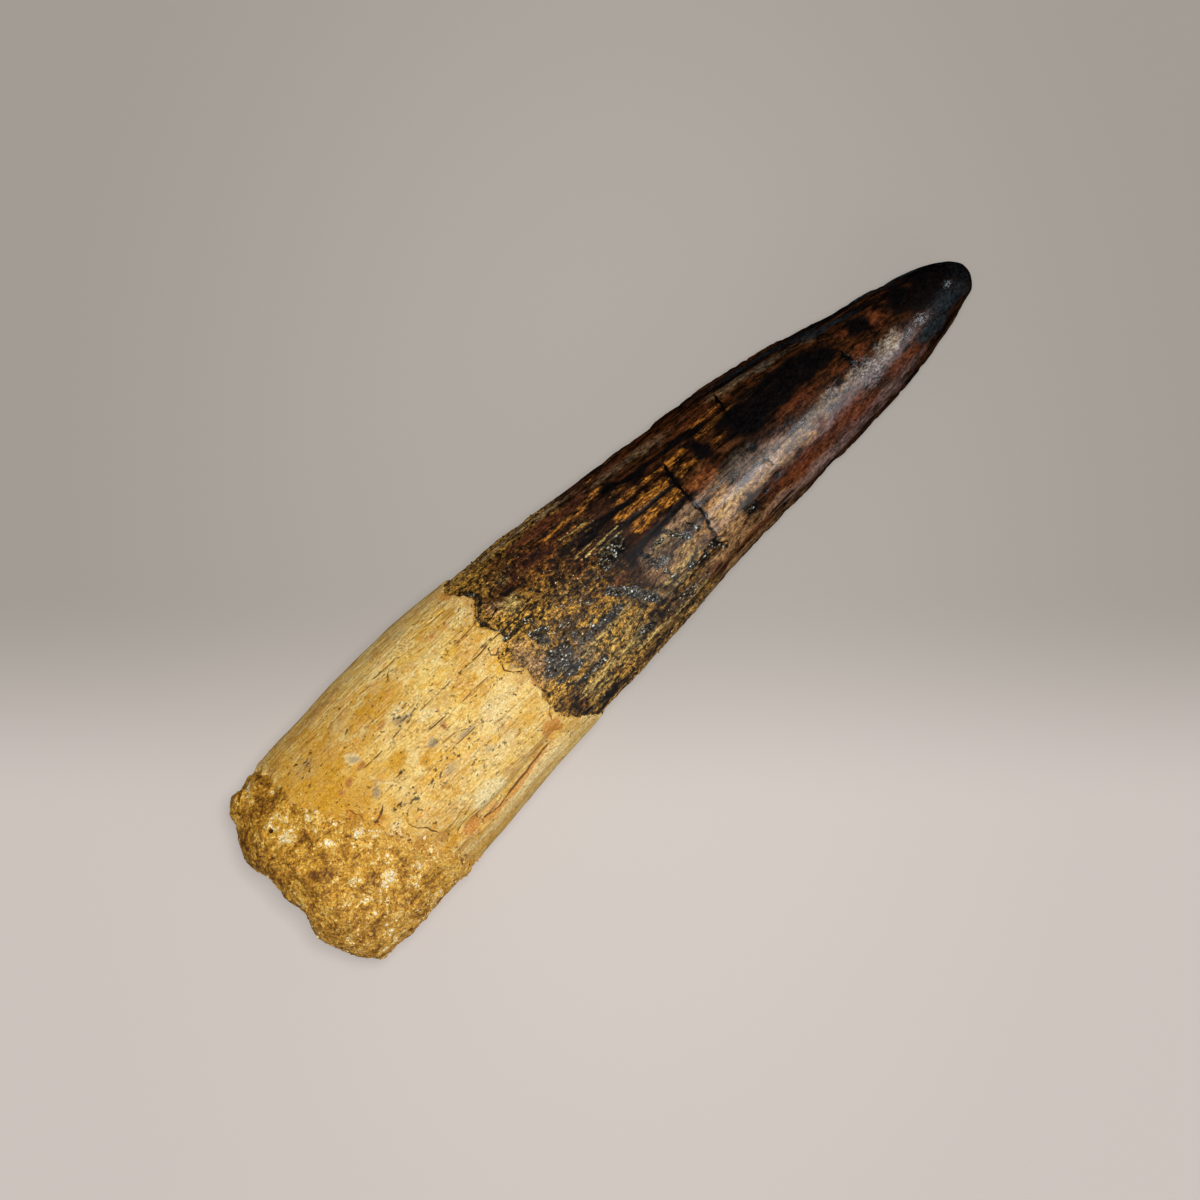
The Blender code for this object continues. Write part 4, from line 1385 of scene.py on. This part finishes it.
    def build(self) -> bpy.types.Object:
        """The crown's mesh, with its material."""
        skin = Skin(self.form, self.rings(), self.steps)
        past = self.past_enamel_edge(skin)
        fields = self.cracked(skin, self.cracks) | self.covered(skin, self.painted)
        fields["foot"] = self.foot(skin)
        fields["dull"] = np.maximum(1 - rise(*self.dull_fade, skin.along), skin.cover(self.matt))
        fields["margin"] = 1 - rise(0.0, self.margin_width, past)
        swell = self.swell(skin, past) - self.sunk * (1 - rise(*self.surfaces_over, past))
        places = self.moved(skin, swell, self.relief(skin, fields))
        at_margin = bump(past - 0.35, 0.75) * rise(0.0, 0.6, skin.lumps(1.9))
        weight = np.maximum(0.4 * at_margin, fields["crackle"] ** 2) + 0.05 * fields["foot"]
        weight = weight * (past > -0.2)
        self.strew(self.crystals, skin, places, weight, 0.08 + 0.3 * skin.lumps(0.8))
        return self.dressed(skin.piece("crown", places, fields), CrownFinish().material())


@dataclass
class Root(ToothSurface):
    """The root: its swells, its split ledge, its fine cracks and ridges, and its many stains."""

    steps: int = 448
    stretch: Pair = (5.0, 38.6)
    swells: Layers = ((0.16, 7.0), (0.07, 3.0))
    fibres: Layers = ((0.03, 0.5, 9.0), (0.035, 1.2, 3.0))
    ledge_path: Pairs = (
        (17.5, 8.3), (21.0, 8.8), (24.0, 8.9), (27.0, 8.5), (29.5, 8.2), (31.5, 7.8)
    )
    ledge_width_across: float = 1.1
    ledge_depth: float = 0.55
    ledge_fade: float = 1.2
    ridge_ragged: float = 0.5
    ridge_height: float = 0.09
    groove_depth: float = 0.1
    groove_fade: Pair = (0.6, 2.4)
    speck_ragged: float = 1.5
    fewest_specks: float = 0.12
    dives_under_crown: Pair = (-0.05, 0.45)
    surfaces_past_crust: Pair = (-0.7, 0.1)
    ring_spacing: float = 0.165
    sand: GrainBed = GrainBed(
        "strewn_sand", GrainKind.SAND, SEED + 1, 11, radius=0.11, spread=0.4, sunk=(0.1, 0.8)
    )
    painted: tuple[str, ...] = ("pale", "ochre", "tan", "orange", "rust", "grey")
    cracks: tuple[Stroke, ...] = (
        Stroke(((15.5, -3.05), (17.5, -3.05)), 0.07, 0.9),
        Stroke(((19.4, -3.2), (20.5, -3.35), (21.9, -3.35)), 0.08),
        Stroke(((23.4, -3.3), (24.6, -3.4), (27.6, -3.45)), 0.07, 0.9),
        Stroke(((29.9, -3.45), (32.4, -3.5), (34.8, -3.65)), 0.09),
        Stroke(((32.4, -3.85), (33.6, -3.8)), 0.07),
        Stroke(((33.5, -3.1), (32.7, -3.2), (32.3, -2.6), (32.8, -2.2), (33.5, -2.5)), 0.06),
        Stroke(((30.8, -6.2), (31.6, -5.8), (33.2, -5.9)), 0.06, 0.8),
        Stroke(((32.6, 6.4), (33.2, 5.2), (33.3, 4)), 0.06, 0.7),
        Stroke(((22.8, -1.25), (24.9, -1.25)), 0.09),
        Stroke(((27, -1), (28.4, -1.2), (30.9, -1.3)), 0.05, 0.7),
        Stroke(((20.2, -8.95), (21.3, -8.8)), 0.07, 0.8),
        Stroke(((22.2, -9.1), (24.6, -9.05)), 0.09),
        Stroke(((29.5, -9.35), (31.7, -9.25)), 0.06, 0.8),
        Stroke(((14.8, 4.2), (15, 5), (15.5, 5.6), (16.2, 6.9)), 0.08),
        Stroke(((17, 7.4), (18.5, 7.1), (21, 6.6)), 0.05, 0.6),
        Stroke(((17.8, 8.5), (19, 8.2), (20.4, 7.95)), 0.08),
        Stroke(((23.5, 1.5), (25, 1.6), (27.2, 1.75)), 0.07, 0.8),
        Stroke(((22.8, 0.6), (24.2, 0.6), (25.6, 1.1)), 0.06, 0.7),
        Stroke(((33.2, -2.3), (32.5, -1.4), (32.3, -0.5), (32.7, 0.3), (33.4, 0.8)), 0.07),
        Stroke(((20.6, 9.2), (22.5, 9.5), (25, 9.2), (28, 8.75), (30.4, 8.4)), 0.13, 0.9),
        Stroke(((20.3, 9.4), (20.4, 8.6)), 0.06, 0.8), Stroke(((17, -0.1), (17.9, -0.15)), 0.07),
        Stroke(((22.9, -7.9), (23.9, -8.5)), 0.08, 0.8),
        Stroke(((30.6, -5.95), (32, -5.8)), 0.09, 0.8),
        Stroke(((11.2, -0.9), (11.5, 0.1), (11.2, 1.2)), 0.07, 0.8),
        Stroke(((12, 1.6), (12.7, 1.85), (13.7, 1.35)), 0.13),
    )
    ridges: tuple[Stroke, ...] = (
        Stroke(((21, 3.7), (24, 3.5), (26, 3.3), (30, 3.1), (33.3, 3)), 0.14),
        Stroke(((24.5, -6.4), (26.5, -6.9), (29.8, -7.25)), 0.14),
        Stroke(((18, -9.5), (21, -9.7), (24, -9.5), (28.5, -10.2)), 0.12),
        Stroke(((15, -1.8), (15.6, -0.9), (16.4, 0.3)), 0.12),
        Stroke(((20.9, -8.7), (22, -9)), 0.1), Stroke(((27, 5.9), (30, 5.7)), 0.1, 0.6),
    )
    # Pale stains. The long one along the lower edge, 9.6 across, is partly painted light: it
    # lightens the edge where it turns away from the overhead lamp.
    pale: Marks = stains(
        (22.6, 7.5, 1.9, 1.4), (28.6, 2, 3, 1, 0.6, 0.9), (33.1, -7.6, 1.1, 0.9, 0.6, 0.9),
        (28.5, 9.4, 4, 0.4, 0.8, 0.5, -8), (26, 9.6, 8, 1.2, 0.75, 0.9, -3),
        (13.4, 3.6, 1, 0.6, 0.8), (15, -4.6, 0.9, 0.5, 0.8, 0.5, 30), (21.4, -5, 1.2, 0.6, 0.7),
        (23.2, -2.6, 1.2, 0.6, 0.7), (26.6, 5, 3, 1.2, 0.6), (31, 1, 1.6, 0.9, 0.6, 0.9),
        (19, 10.3, 3, 0.4, 0.7),
    )
    ochre: Marks = stains(
        (10.5, -3, 5.5, 9, 1, 0.9), (22, 10.2, 10, 2.2, 0.8, 0.9, -3), (12.5, 6.5, 5, 6, 0.6, 0.9),
        (17.5, 0, 5, 9, 0.3, 0.9), (19, -6.5, 5, 3, 0.5, 0.9), (15.5, 7, 4, 3, 0.6, 0.9),
        (8.8, -7, 1.3, 2), (9.4, -5.2, 0.9, 0.9), (11, -5.6, 1.3, 0.8), (12.3, -4.6, 2.2, 1.2, 0.8),
        (18.2, -1.1, 1.7, 0.7, 1, 0.5, -10), (20.3, 0.5, 1.1, 0.5), (19.6, -7.2, 2.4, 1.1, 0.9),
        (12.6, -0.6, 1.4, 1.4, 0.8), (16.4, 8.6, 1.4, 0.7), (15, 5.5, 3, 1.6, 0.5),
        (22, 10.4, 3, 0.4, 0.6, 0.5, -4), (30.5, 4.4, 2.8, 1, 0.6),
        (33.8, 8.6, 1.3, 0.7, 0.7, 0.5, 30), (29, -8.4, 2.4, 0.6, 0.5),
    )
    tan: Marks = stains(
        (14, -10.5, 6.5, 0.9, 0.6, 0.9), (23, -10.9, 9, 0.7, 0.5, 0.9), (15.5, -8.2, 2.4, 0.4, 0.7),
        (13.6, 6.8, 1.7, 1), (16.3, 7.5, 0.9, 0.5), (32.5, -8.9, 1.4, 0.5, 0.6),
        (33.5, 0.3, 1.1, 1.8, 0.7, 0.9), (34.2, -7.8, 0.6, 1.2, 0.6, 0.9), (8.2, -9.3, 1.2, 0.8),
        (17.3, 9.6, 1.5, 0.4), (29.2, -1.1, 1.8, 0.3, 0.6),
    )
    orange: Marks = (
        *stains(
            (19.2, 8.9, 1.6, 0.55), (29.3, 7.7, 1.1, 0.35), (31.8, 7.2, 1.1, 1.1),
            (31, 7.6, 0.8, 0.5), (33, 5.9, 0.5, 0.6, 0.9), (13, 1.9, 0.7, 0.35),
            (31.2, -5.85, 0.9, 0.22, 1, 0.5, 5), (33.3, -10.2, 0.6, 1.2, 0.9),
            (11, -0.1, 0.45, 1.1),
        ),
        Stroke(((20.4, 9.4), (22.5, 9.6), (25, 9.3), (28, 8.85), (31, 8.2)), 0.3, 0.8),
    )
    rust: Marks = stains(
        (12.1, -2.7, 0.45, 0.35), (13.3, -3, 0.6, 0.3, 1, 0.5, -20), (15.2, -3.4, 0.6, 0.3),
        (19.5, -4.9, 0.8, 0.45, 0.8), (24.2, -0.5, 0.28, 0.35), (25.1, -2, 0.25, 0.6, 0.7),
        (20, 6.4, 0.5, 0.25, 0.7), (25.6, 7.3, 0.7, 0.7, 0.6), (22, 9.2, 0.9, 0.3),
        (31.1, -8.2, 0.25, 0.25), (29.4, -8.1, 0.25, 0.2), (33.6, 2.4, 0.35, 0.9, 0.8),
        (27.7, -1.2, 0.8, 0.25, 0.6),
    )
    grey: Marks = stains(
        (14.9, -0.6, 0.5, 0.9, 0.8, 0.5, 25), (15.1, -4.4, 0.7, 0.3, 0.8, 0.5, 30),
        (21.6, -4, 1.2, 0.5, 0.75), (22.2, 0.05, 0.6, 0.4), (25.4, 1.3, 1.6, 0.35, 0.8, 0.5, 12),
        (21.4, 2.8, 0.9, 0.45, 0.7), (10.8, -7, 1.6, 0.8, 0.5), (34, -0.2, 1.4, 0.8, 0.8),
        (25.6, 4.2, 0.6, 0.4, 0.6), (15.2, 10.6, 0.6, 0.3, 0.8),
    )
    specks: Marks = stains(
        (10.3, -8, 1.4, 0.4, 0.75), (11.2, -7.3, 0.6, 0.5, 0.8), (12.3, -8, 0.4, 0.3, 0.9),
        (16.8, -7, 0.8, 0.5, 0.7), (19.3, -8.5, 0.6, 0.2, 0.9), (17.6, -0.1, 1, 0.3, 0.7),
        (15.6, 2.5, 1.6, 0.9, 0.6), (20.3, 2.6, 1.5, 0.9, 0.6), (22.2, -4.2, 1.6, 0.8, 0.5),
        (16.8, 5.9, 0.7, 0.7, 0.5), (15.4, 10.3, 0.7, 0.5, 0.8), (26.5, 4.5, 1.6, 1, 0.4),
        (27.5, -6, 2, 0.5, 0.4), (22.5, 1.6, 1.4, 0.8, 0.5), (30.8, -8.2, 0.5, 0.3, 0.6),
    )

    def rings(self) -> list[Pair]:
        """Evenly spaced rings, closed inside the crust and inside the crown."""
        start, end = self.stretch
        rings = closing_rings(start, 5, opening=True)
        rings += even_rings(start, end, self.ring_spacing)
        return rings + closing_rings(end, 5, opening=False)

    def swell(self, skin: Skin) -> np.ndarray:
        """The larger shapes, as the solid has them: soft swells and the split ledge."""
        start, end = self.ledge_path[0][0], self.ledge_path[-1][0]
        ends = rise(start - self.ledge_fade, start, skin.along)
        ends = ends - rise(end, end + self.ledge_fade, skin.along)
        off = skin.places[:, 1] - SmoothCurve(self.ledge_path).at(skin.along)
        on_top = np.abs(skin.angle) <= 90
        ledge = self.ledge_depth * ends * bump(off, self.ledge_width_across) * on_top
        return skin.lumpy(self.swells) - ledge

    def relief(self, skin: Skin, fields: Fields, ridges: np.ndarray) -> np.ndarray:
        """The fine shapes: fibres, scuffs, pits, ridges and cracks."""
        scuffs = skin.hollows(0.07, 0.3, 0.9, 2.0)
        pits = 0.06 * fields["specks"] + 0.05 * fields["grey"] + 0.04 * fields["tan"]
        relief = skin.lumpy(self.fibres) - scuffs - pits + self.ridge_height * ridges
        return relief - self.groove_depth * self.grooves(fields, self.groove_fade)

    def build(self) -> bpy.types.Object:
        """The root's mesh, with its material."""
        skin = Skin(self.form, self.rings(), self.steps)
        fields = self.cracked(skin, self.cracks) | self.covered(skin, self.painted)
        ridges = skin.cover(self.ridges, self.ridge_ragged)
        fields["pale"] = np.maximum(fields["pale"], 0.65 * ridges)
        specks = skin.cover(with_twins(self.specks), self.speck_ragged)
        fields["specks"] = np.maximum(specks, self.fewest_specks)
        fields["upper"] = rise(0.6, 0.9, np.abs(skin.sideways))
        past_crust = self.past_crust(skin)
        under_crown = rise(*self.dives_under_crown, self.past_enamel_edge(skin))
        under_crust = 1 - rise(*self.surfaces_past_crust, past_crust)
        swell = self.swell(skin) - self.sunk * np.maximum(under_crown, under_crust)
        places = self.moved(skin, swell, self.relief(skin, fields, ridges))
        weight = rise(-0.6, 0.2, past_crust) * (1 - rise(0.2, 3.4, past_crust)) ** 2
        weight *= 0.1 + 0.9 * rise(-0.3, 0.5, skin.sideways)
        self.strew(self.sand, skin, places, weight, 0.5 + 0.35 * skin.lumps(1.2))
        return self.dressed(skin.piece("root", places, fields), RootFinish().material())


@dataclass
class SandCrust(ToothSurface):
    """The crust of cemented sand round the root's broken end, and over the end itself."""

    steps: int = 544
    inside_to: float = 18.6
    inset: float = 0.2
    big_lumps: Layers = ((0.42, 2.8), (0.26, 1.4))
    grit: Layers = ((0.13, 0.55), (0.08, 0.28))
    flake_middle: Pair = (3.2, -72.0)
    flake_reach: Pair = (1.9, 14.0)
    flake_height: float = 0.5
    dives_under_root: Pair = (0.3, 1.0)
    end_rings: int = 30
    bend_rings: int = 32
    bend_from_share: float = 0.5
    ring_spacing: float = 0.155
    grains: GrainBed = GrainBed(
        "sand_grains", GrainKind.SAND, SEED + 2, 13, radius=0.085, spread=0.55, sunk=(0.4, 1.1)
    )
    pale: Marks = stains(
        (4.6, -5.5, 0.9, 0.6, 1, 0.5, -30), (4.9, -3, 1, 0.5, 1, 0.5, -20),
        (7.8, 0, 1.5, 0.6, 1, 0.5, 15), (7.8, -1.6, 0.8, 0.7, 0.8),
        (11.9, 2.6, 0.9, 0.6, 1, 0.5, 20), (10.2, 1.2, 0.9, 0.4, 1, 0.5, 40),
        (6.6, 6.6, 1, 0.9, 0.8), (13.4, 8.5, 1.2, 0.5, 1, 0.5, 45), (6.8, -8.2, 0.7, 0.5, 0.7),
        (9.3, 7, 1.4, 1, 0.6), (4.8, 8.5, 0.9, 0.8, 0.6), (7.5, 9.8, 1.6, 0.6, 0.5),
        (8.7, -2.9, 0.6, 0.5, 0.8), (7.6, 4, 1.8, 1.2, 0.45), (5, 11.6, 2.6, 0.6, 0.6),
    )
    dark: Marks = (
        *stains(
            (4.2, 1.9, 1.5, 0.8, 0.6, 0.8), (5.6, 2.6, 0.8, 0.4, 0.6), (4.2, 10.3, 0.9, 0.5, 0.6),
            (9.4, 8.6, 0.9, 0.5, 0.6), (3, -8, 2.6, 1.2, 0.8, 0.5, 20), (7.2, -9.2, 1.2, 1.2),
            (7.3, -5.2, 0.5, 1, 0.8), (5.2, -2, 1.4, 0.4, 0.7), (3.4, -1.6, 1, 0.6, 0.7),
            (8.4, -1, 0.5, 0.5, 0.8), (3.9, -5, 0.3, 0.25, 1.6, 0.5, -40),
            (12.5, 9.3, 1.3, 0.7, 0.6), (3.6, -6.6, 2.6, 1.4, 0.85, 0.9),
            (1.8, -2.5, 1.2, 3, 0.5, 0.9), (5.8, -7.8, 2.6, 1.9, 0.8, 0.9),
            (8.5, -3.6, 0.4, 0.3, 1.4),
        ),
        Stroke(((2.5, -8.9), (3.4, -9.15), (4.2, -9.6)), 0.22, 1.5),
    )
    amber: Marks = stains(
        (10.7, -0.1, 0.9, 1.1), (3.4, -3.2, 0.9, 0.3, 0.6, 0.5, -60), (8, -6.4, 0.4, 1, 0.7),
        (7.6, 7.6, 1, 0.9, 0.4),
    )

    def rings(self) -> list[Pair]:
        """Rings over the broken end, then along the side, closed inside the root."""
        flat, bent, start = self.end_rings, self.bend_rings, self.bend_from_share
        shares = [start * i / flat for i in range(flat)]
        shares += [start + (1 - start) * (i / bent) ** 0.8 for i in range(bent)]
        rings = [(self.form.corner(share), share) for share in shares]
        rings += even_rings(self.form.corner_depth, self.inside_to, self.ring_spacing)
        return rings + closing_rings(self.inside_to, 6, opening=False)

    def swell(self, skin: Skin) -> np.ndarray:
        """The larger shapes, as the solid has them: lumps, an inset side and the corner's flake."""
        (along, angle), (length, turn) = self.flake_middle, self.flake_reach
        off = np.hypot((skin.along - along) / length, (skin.angle - angle) / turn)
        flake = self.flake_height * (1 - rise(0.55, 1.0, off))
        return skin.lumpy(self.big_lumps) + self.inset * skin.sideways + flake

    def build(self) -> bpy.types.Object:
        """The crust's mesh, with its material."""
        skin = Skin(self.form, self.rings(), self.steps)
        fields = self.covered(skin, ("pale", "dark", "amber"))
        pale, dark = fields["pale"], fields["dark"]
        past = self.past_crust(skin)
        soft_side = rise(-0.1, 0.5, skin.sideways + 0.3 * skin.lumps(2.4))
        fields["thin"] = rise(-1.0 - 1.6 * soft_side, 0.1, past) * (0.4 + 0.6 * soft_side)
        swell = self.swell(skin) * skin.share - self.sunk * rise(*self.dives_under_root, past)
        relief = skin.lumpy(self.grit) + 0.06 * pale - 0.22 * dark * rise(0.5, 1.0, dark)
        places = self.moved(skin, swell, relief)
        coarse = rise(-0.5, 0.7, skin.lumps(2.6) + 0.5 * skin.sideways + 0.8 * pale)
        weight = (0.15 + coarse) * (1 - rise(0.3, 0.8, past))
        light = 0.4 + 0.5 * skin.lumps(2.2) + 0.34 * pale - 0.15 * dark
        self.strew(self.grains, skin, places, weight, light)
        return self.dressed(skin.piece("sand_crust", places, fields), CrustFinish().material())


@dataclass(frozen=True)
class SoftLight:
    """A rectangular light that faces the tooth. Its place and size are in millimetres.

    Where it is for gloss only, only glossy surfaces show it. Otherwise they do not mirror it.
    """

    name: str
    place: Triple
    size: Pair
    watts: float
    colour: Triple = DAYLIGHT
    gloss_only: bool = False

    def build(self) -> None:
        """Adds the light."""
        lamp = bpy.data.lights.new(self.name, "AREA")
        lamp.shape = "RECTANGLE"
        lamp.size, lamp.size_y = (side * MM for side in self.size)
        lamp.energy = self.watts
        lamp.color = self.colour
        stand = bpy.data.objects.new(self.name, lamp)
        stand.location = Vector(self.place) * MM
        stand.rotation_euler = (-Vector(self.place)).to_track_quat("-Z", "Y").to_euler()
        stand.visible_glossy = self.gloss_only
        stand.visible_diffuse = not self.gloss_only
        bpy.context.scene.collection.objects.link(stand)


@dataclass
class Studio:
    """The pale floor with its painted shade and pool of light, the soft lights and the camera that
    looks straight down.
    """

    lights: tuple[SoftLight, ...] = (
        SoftLight("gloss", (40, -350, 480), (300, 140), 2.0, (0.96, 0.97, 1.0), gloss_only=True),
        SoftLight("overhead", (45, 0, 900), (150, 150), 6.35),
        SoftLight("fill", (60, -700, 420), (500, 400), 0.9),
    )
    surroundings_strength: float = 0.24
    floor_half: float = 600.0
    frame_width: float = 122.6
    image_turn: float = 43.25
    aim: Triple = (-3.25, -0.58, 8.0)
    sweep: Pair = (1.0, 25.0)
    # The backdrop and table tones are one floor painted darker far off and lighter near: painted
    # shade, as of a backdrop in shade behind a lit floor.
    backdrop: Shades = (tone(160, 154, 147), tone(176, 170, 163))
    table: Shades = (tone(201, 193, 187), tone(210, 202, 196))
    # A painted pool of light: the floor is lighter round the middle of the picture, fading over
    # this reach.
    light_pool: Pair = (5.0, 65.0)
    light_pool_height: float = 0.6
    floor_roughness: float = 0.85
    floor_glow: float = 0.6
    lens: float = 300.0
    sensor: float = 36.0
    clip_range: float = 20.0

    def floor(self) -> bpy.types.Object:
        """The floor that the tooth lies on, painted darker far off and lighter in a pool round the
        middle.
        """
        sheet = bmesh.new()
        bmesh.ops.create_grid(sheet, x_segments=1, y_segments=1, size=self.floor_half * MM)
        floor = shown("floor", sheet)
        paint = Paint("pale_floor", self.floor_roughness, 0.1)
        turned = {"Vector": paint.place, "Rotation": (0.0, 0.0, math.radians(self.image_turn))}
        picture = paint.node("ShaderNodeMapping", {}, turned)
        nearer = paint.node("ShaderNodeSeparateXYZ", {}, {0: picture}, "Y")
        pressed = {"Vector": picture, "Scale": (1.0, self.light_pool_height, 0.0)}
        flattened = paint.node("ShaderNodeMapping", {}, pressed)
        off = paint.node("ShaderNodeVectorMath", {"operation": "LENGTH"}, {0: flattened}, "Value")
        # Painted light and shade: a lighter pool round the middle, and a darker far part of the
        # floor.
        lit = 1.0 - off.rise(self.light_pool[0] * MM, self.light_pool[1] * MM)
        far, near = paint.blend(lit, *self.backdrop), paint.blend(lit, *self.table)
        start, end = self.sweep
        paint.colour = paint.blend((-1.0 * nearer).rise(start * MM, end * MM), far, near)
        paint.glow(self.floor_glow)
        drift = paint.cloud(4.0, 2.0)
        material = paint.finish(self.floor_roughness + 0.02 * drift, drift, 0.001)
        floor.data.materials.append(material)
        floor.visible_glossy = False
        return floor

    def surroundings(self) -> None:
        """The dim light from all round, which gloss does not mirror."""
        world = bpy.data.worlds.new("surroundings")
        bpy.context.scene.world = world
        world.use_nodes = True
        backdrop = world.node_tree.nodes["Background"]
        backdrop.inputs["Color"].default_value = (*DAYLIGHT, 1.0)
        backdrop.inputs["Strength"].default_value = self.surroundings_strength
        world.cycles_visibility.glossy = False

    def camera(self) -> None:
        """The camera, straight above, turned so that the tooth's tip points up to the right."""
        lens = bpy.data.cameras.new("camera")
        lens.lens = self.lens
        lens.sensor_width = self.sensor
        distance = self.lens * self.frame_width / self.sensor
        lens.clip_start = distance * MM / self.clip_range
        lens.clip_end = distance * MM * self.clip_range
        stand = bpy.data.objects.new("camera", lens)
        x, y, z = self.aim
        stand.location = Vector((x, y, z + distance)) * MM
        stand.rotation_euler = (0.0, 0.0, -math.radians(self.image_turn))
        bpy.context.scene.collection.objects.link(stand)
        bpy.context.scene.camera = stand

    def build(self) -> None:
        """Builds the whole studio."""
        self.floor()
        for light in self.lights:
            light.build()
        self.surroundings()
        self.camera()
        bpy.context.scene.view_settings.view_transform = "Standard"
        log.info("studio: floor, lights and camera")


def main() -> None:
    """Builds the studio and the tooth's pieces in order."""
    logging.basicConfig(level=logging.INFO, format="%(message)s")
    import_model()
    form = ToothForm()
    Studio().build()
    Crown(form).build()
    Root(form).build()
    SandCrust(form).build()


if __name__ == "__main__":
    main()
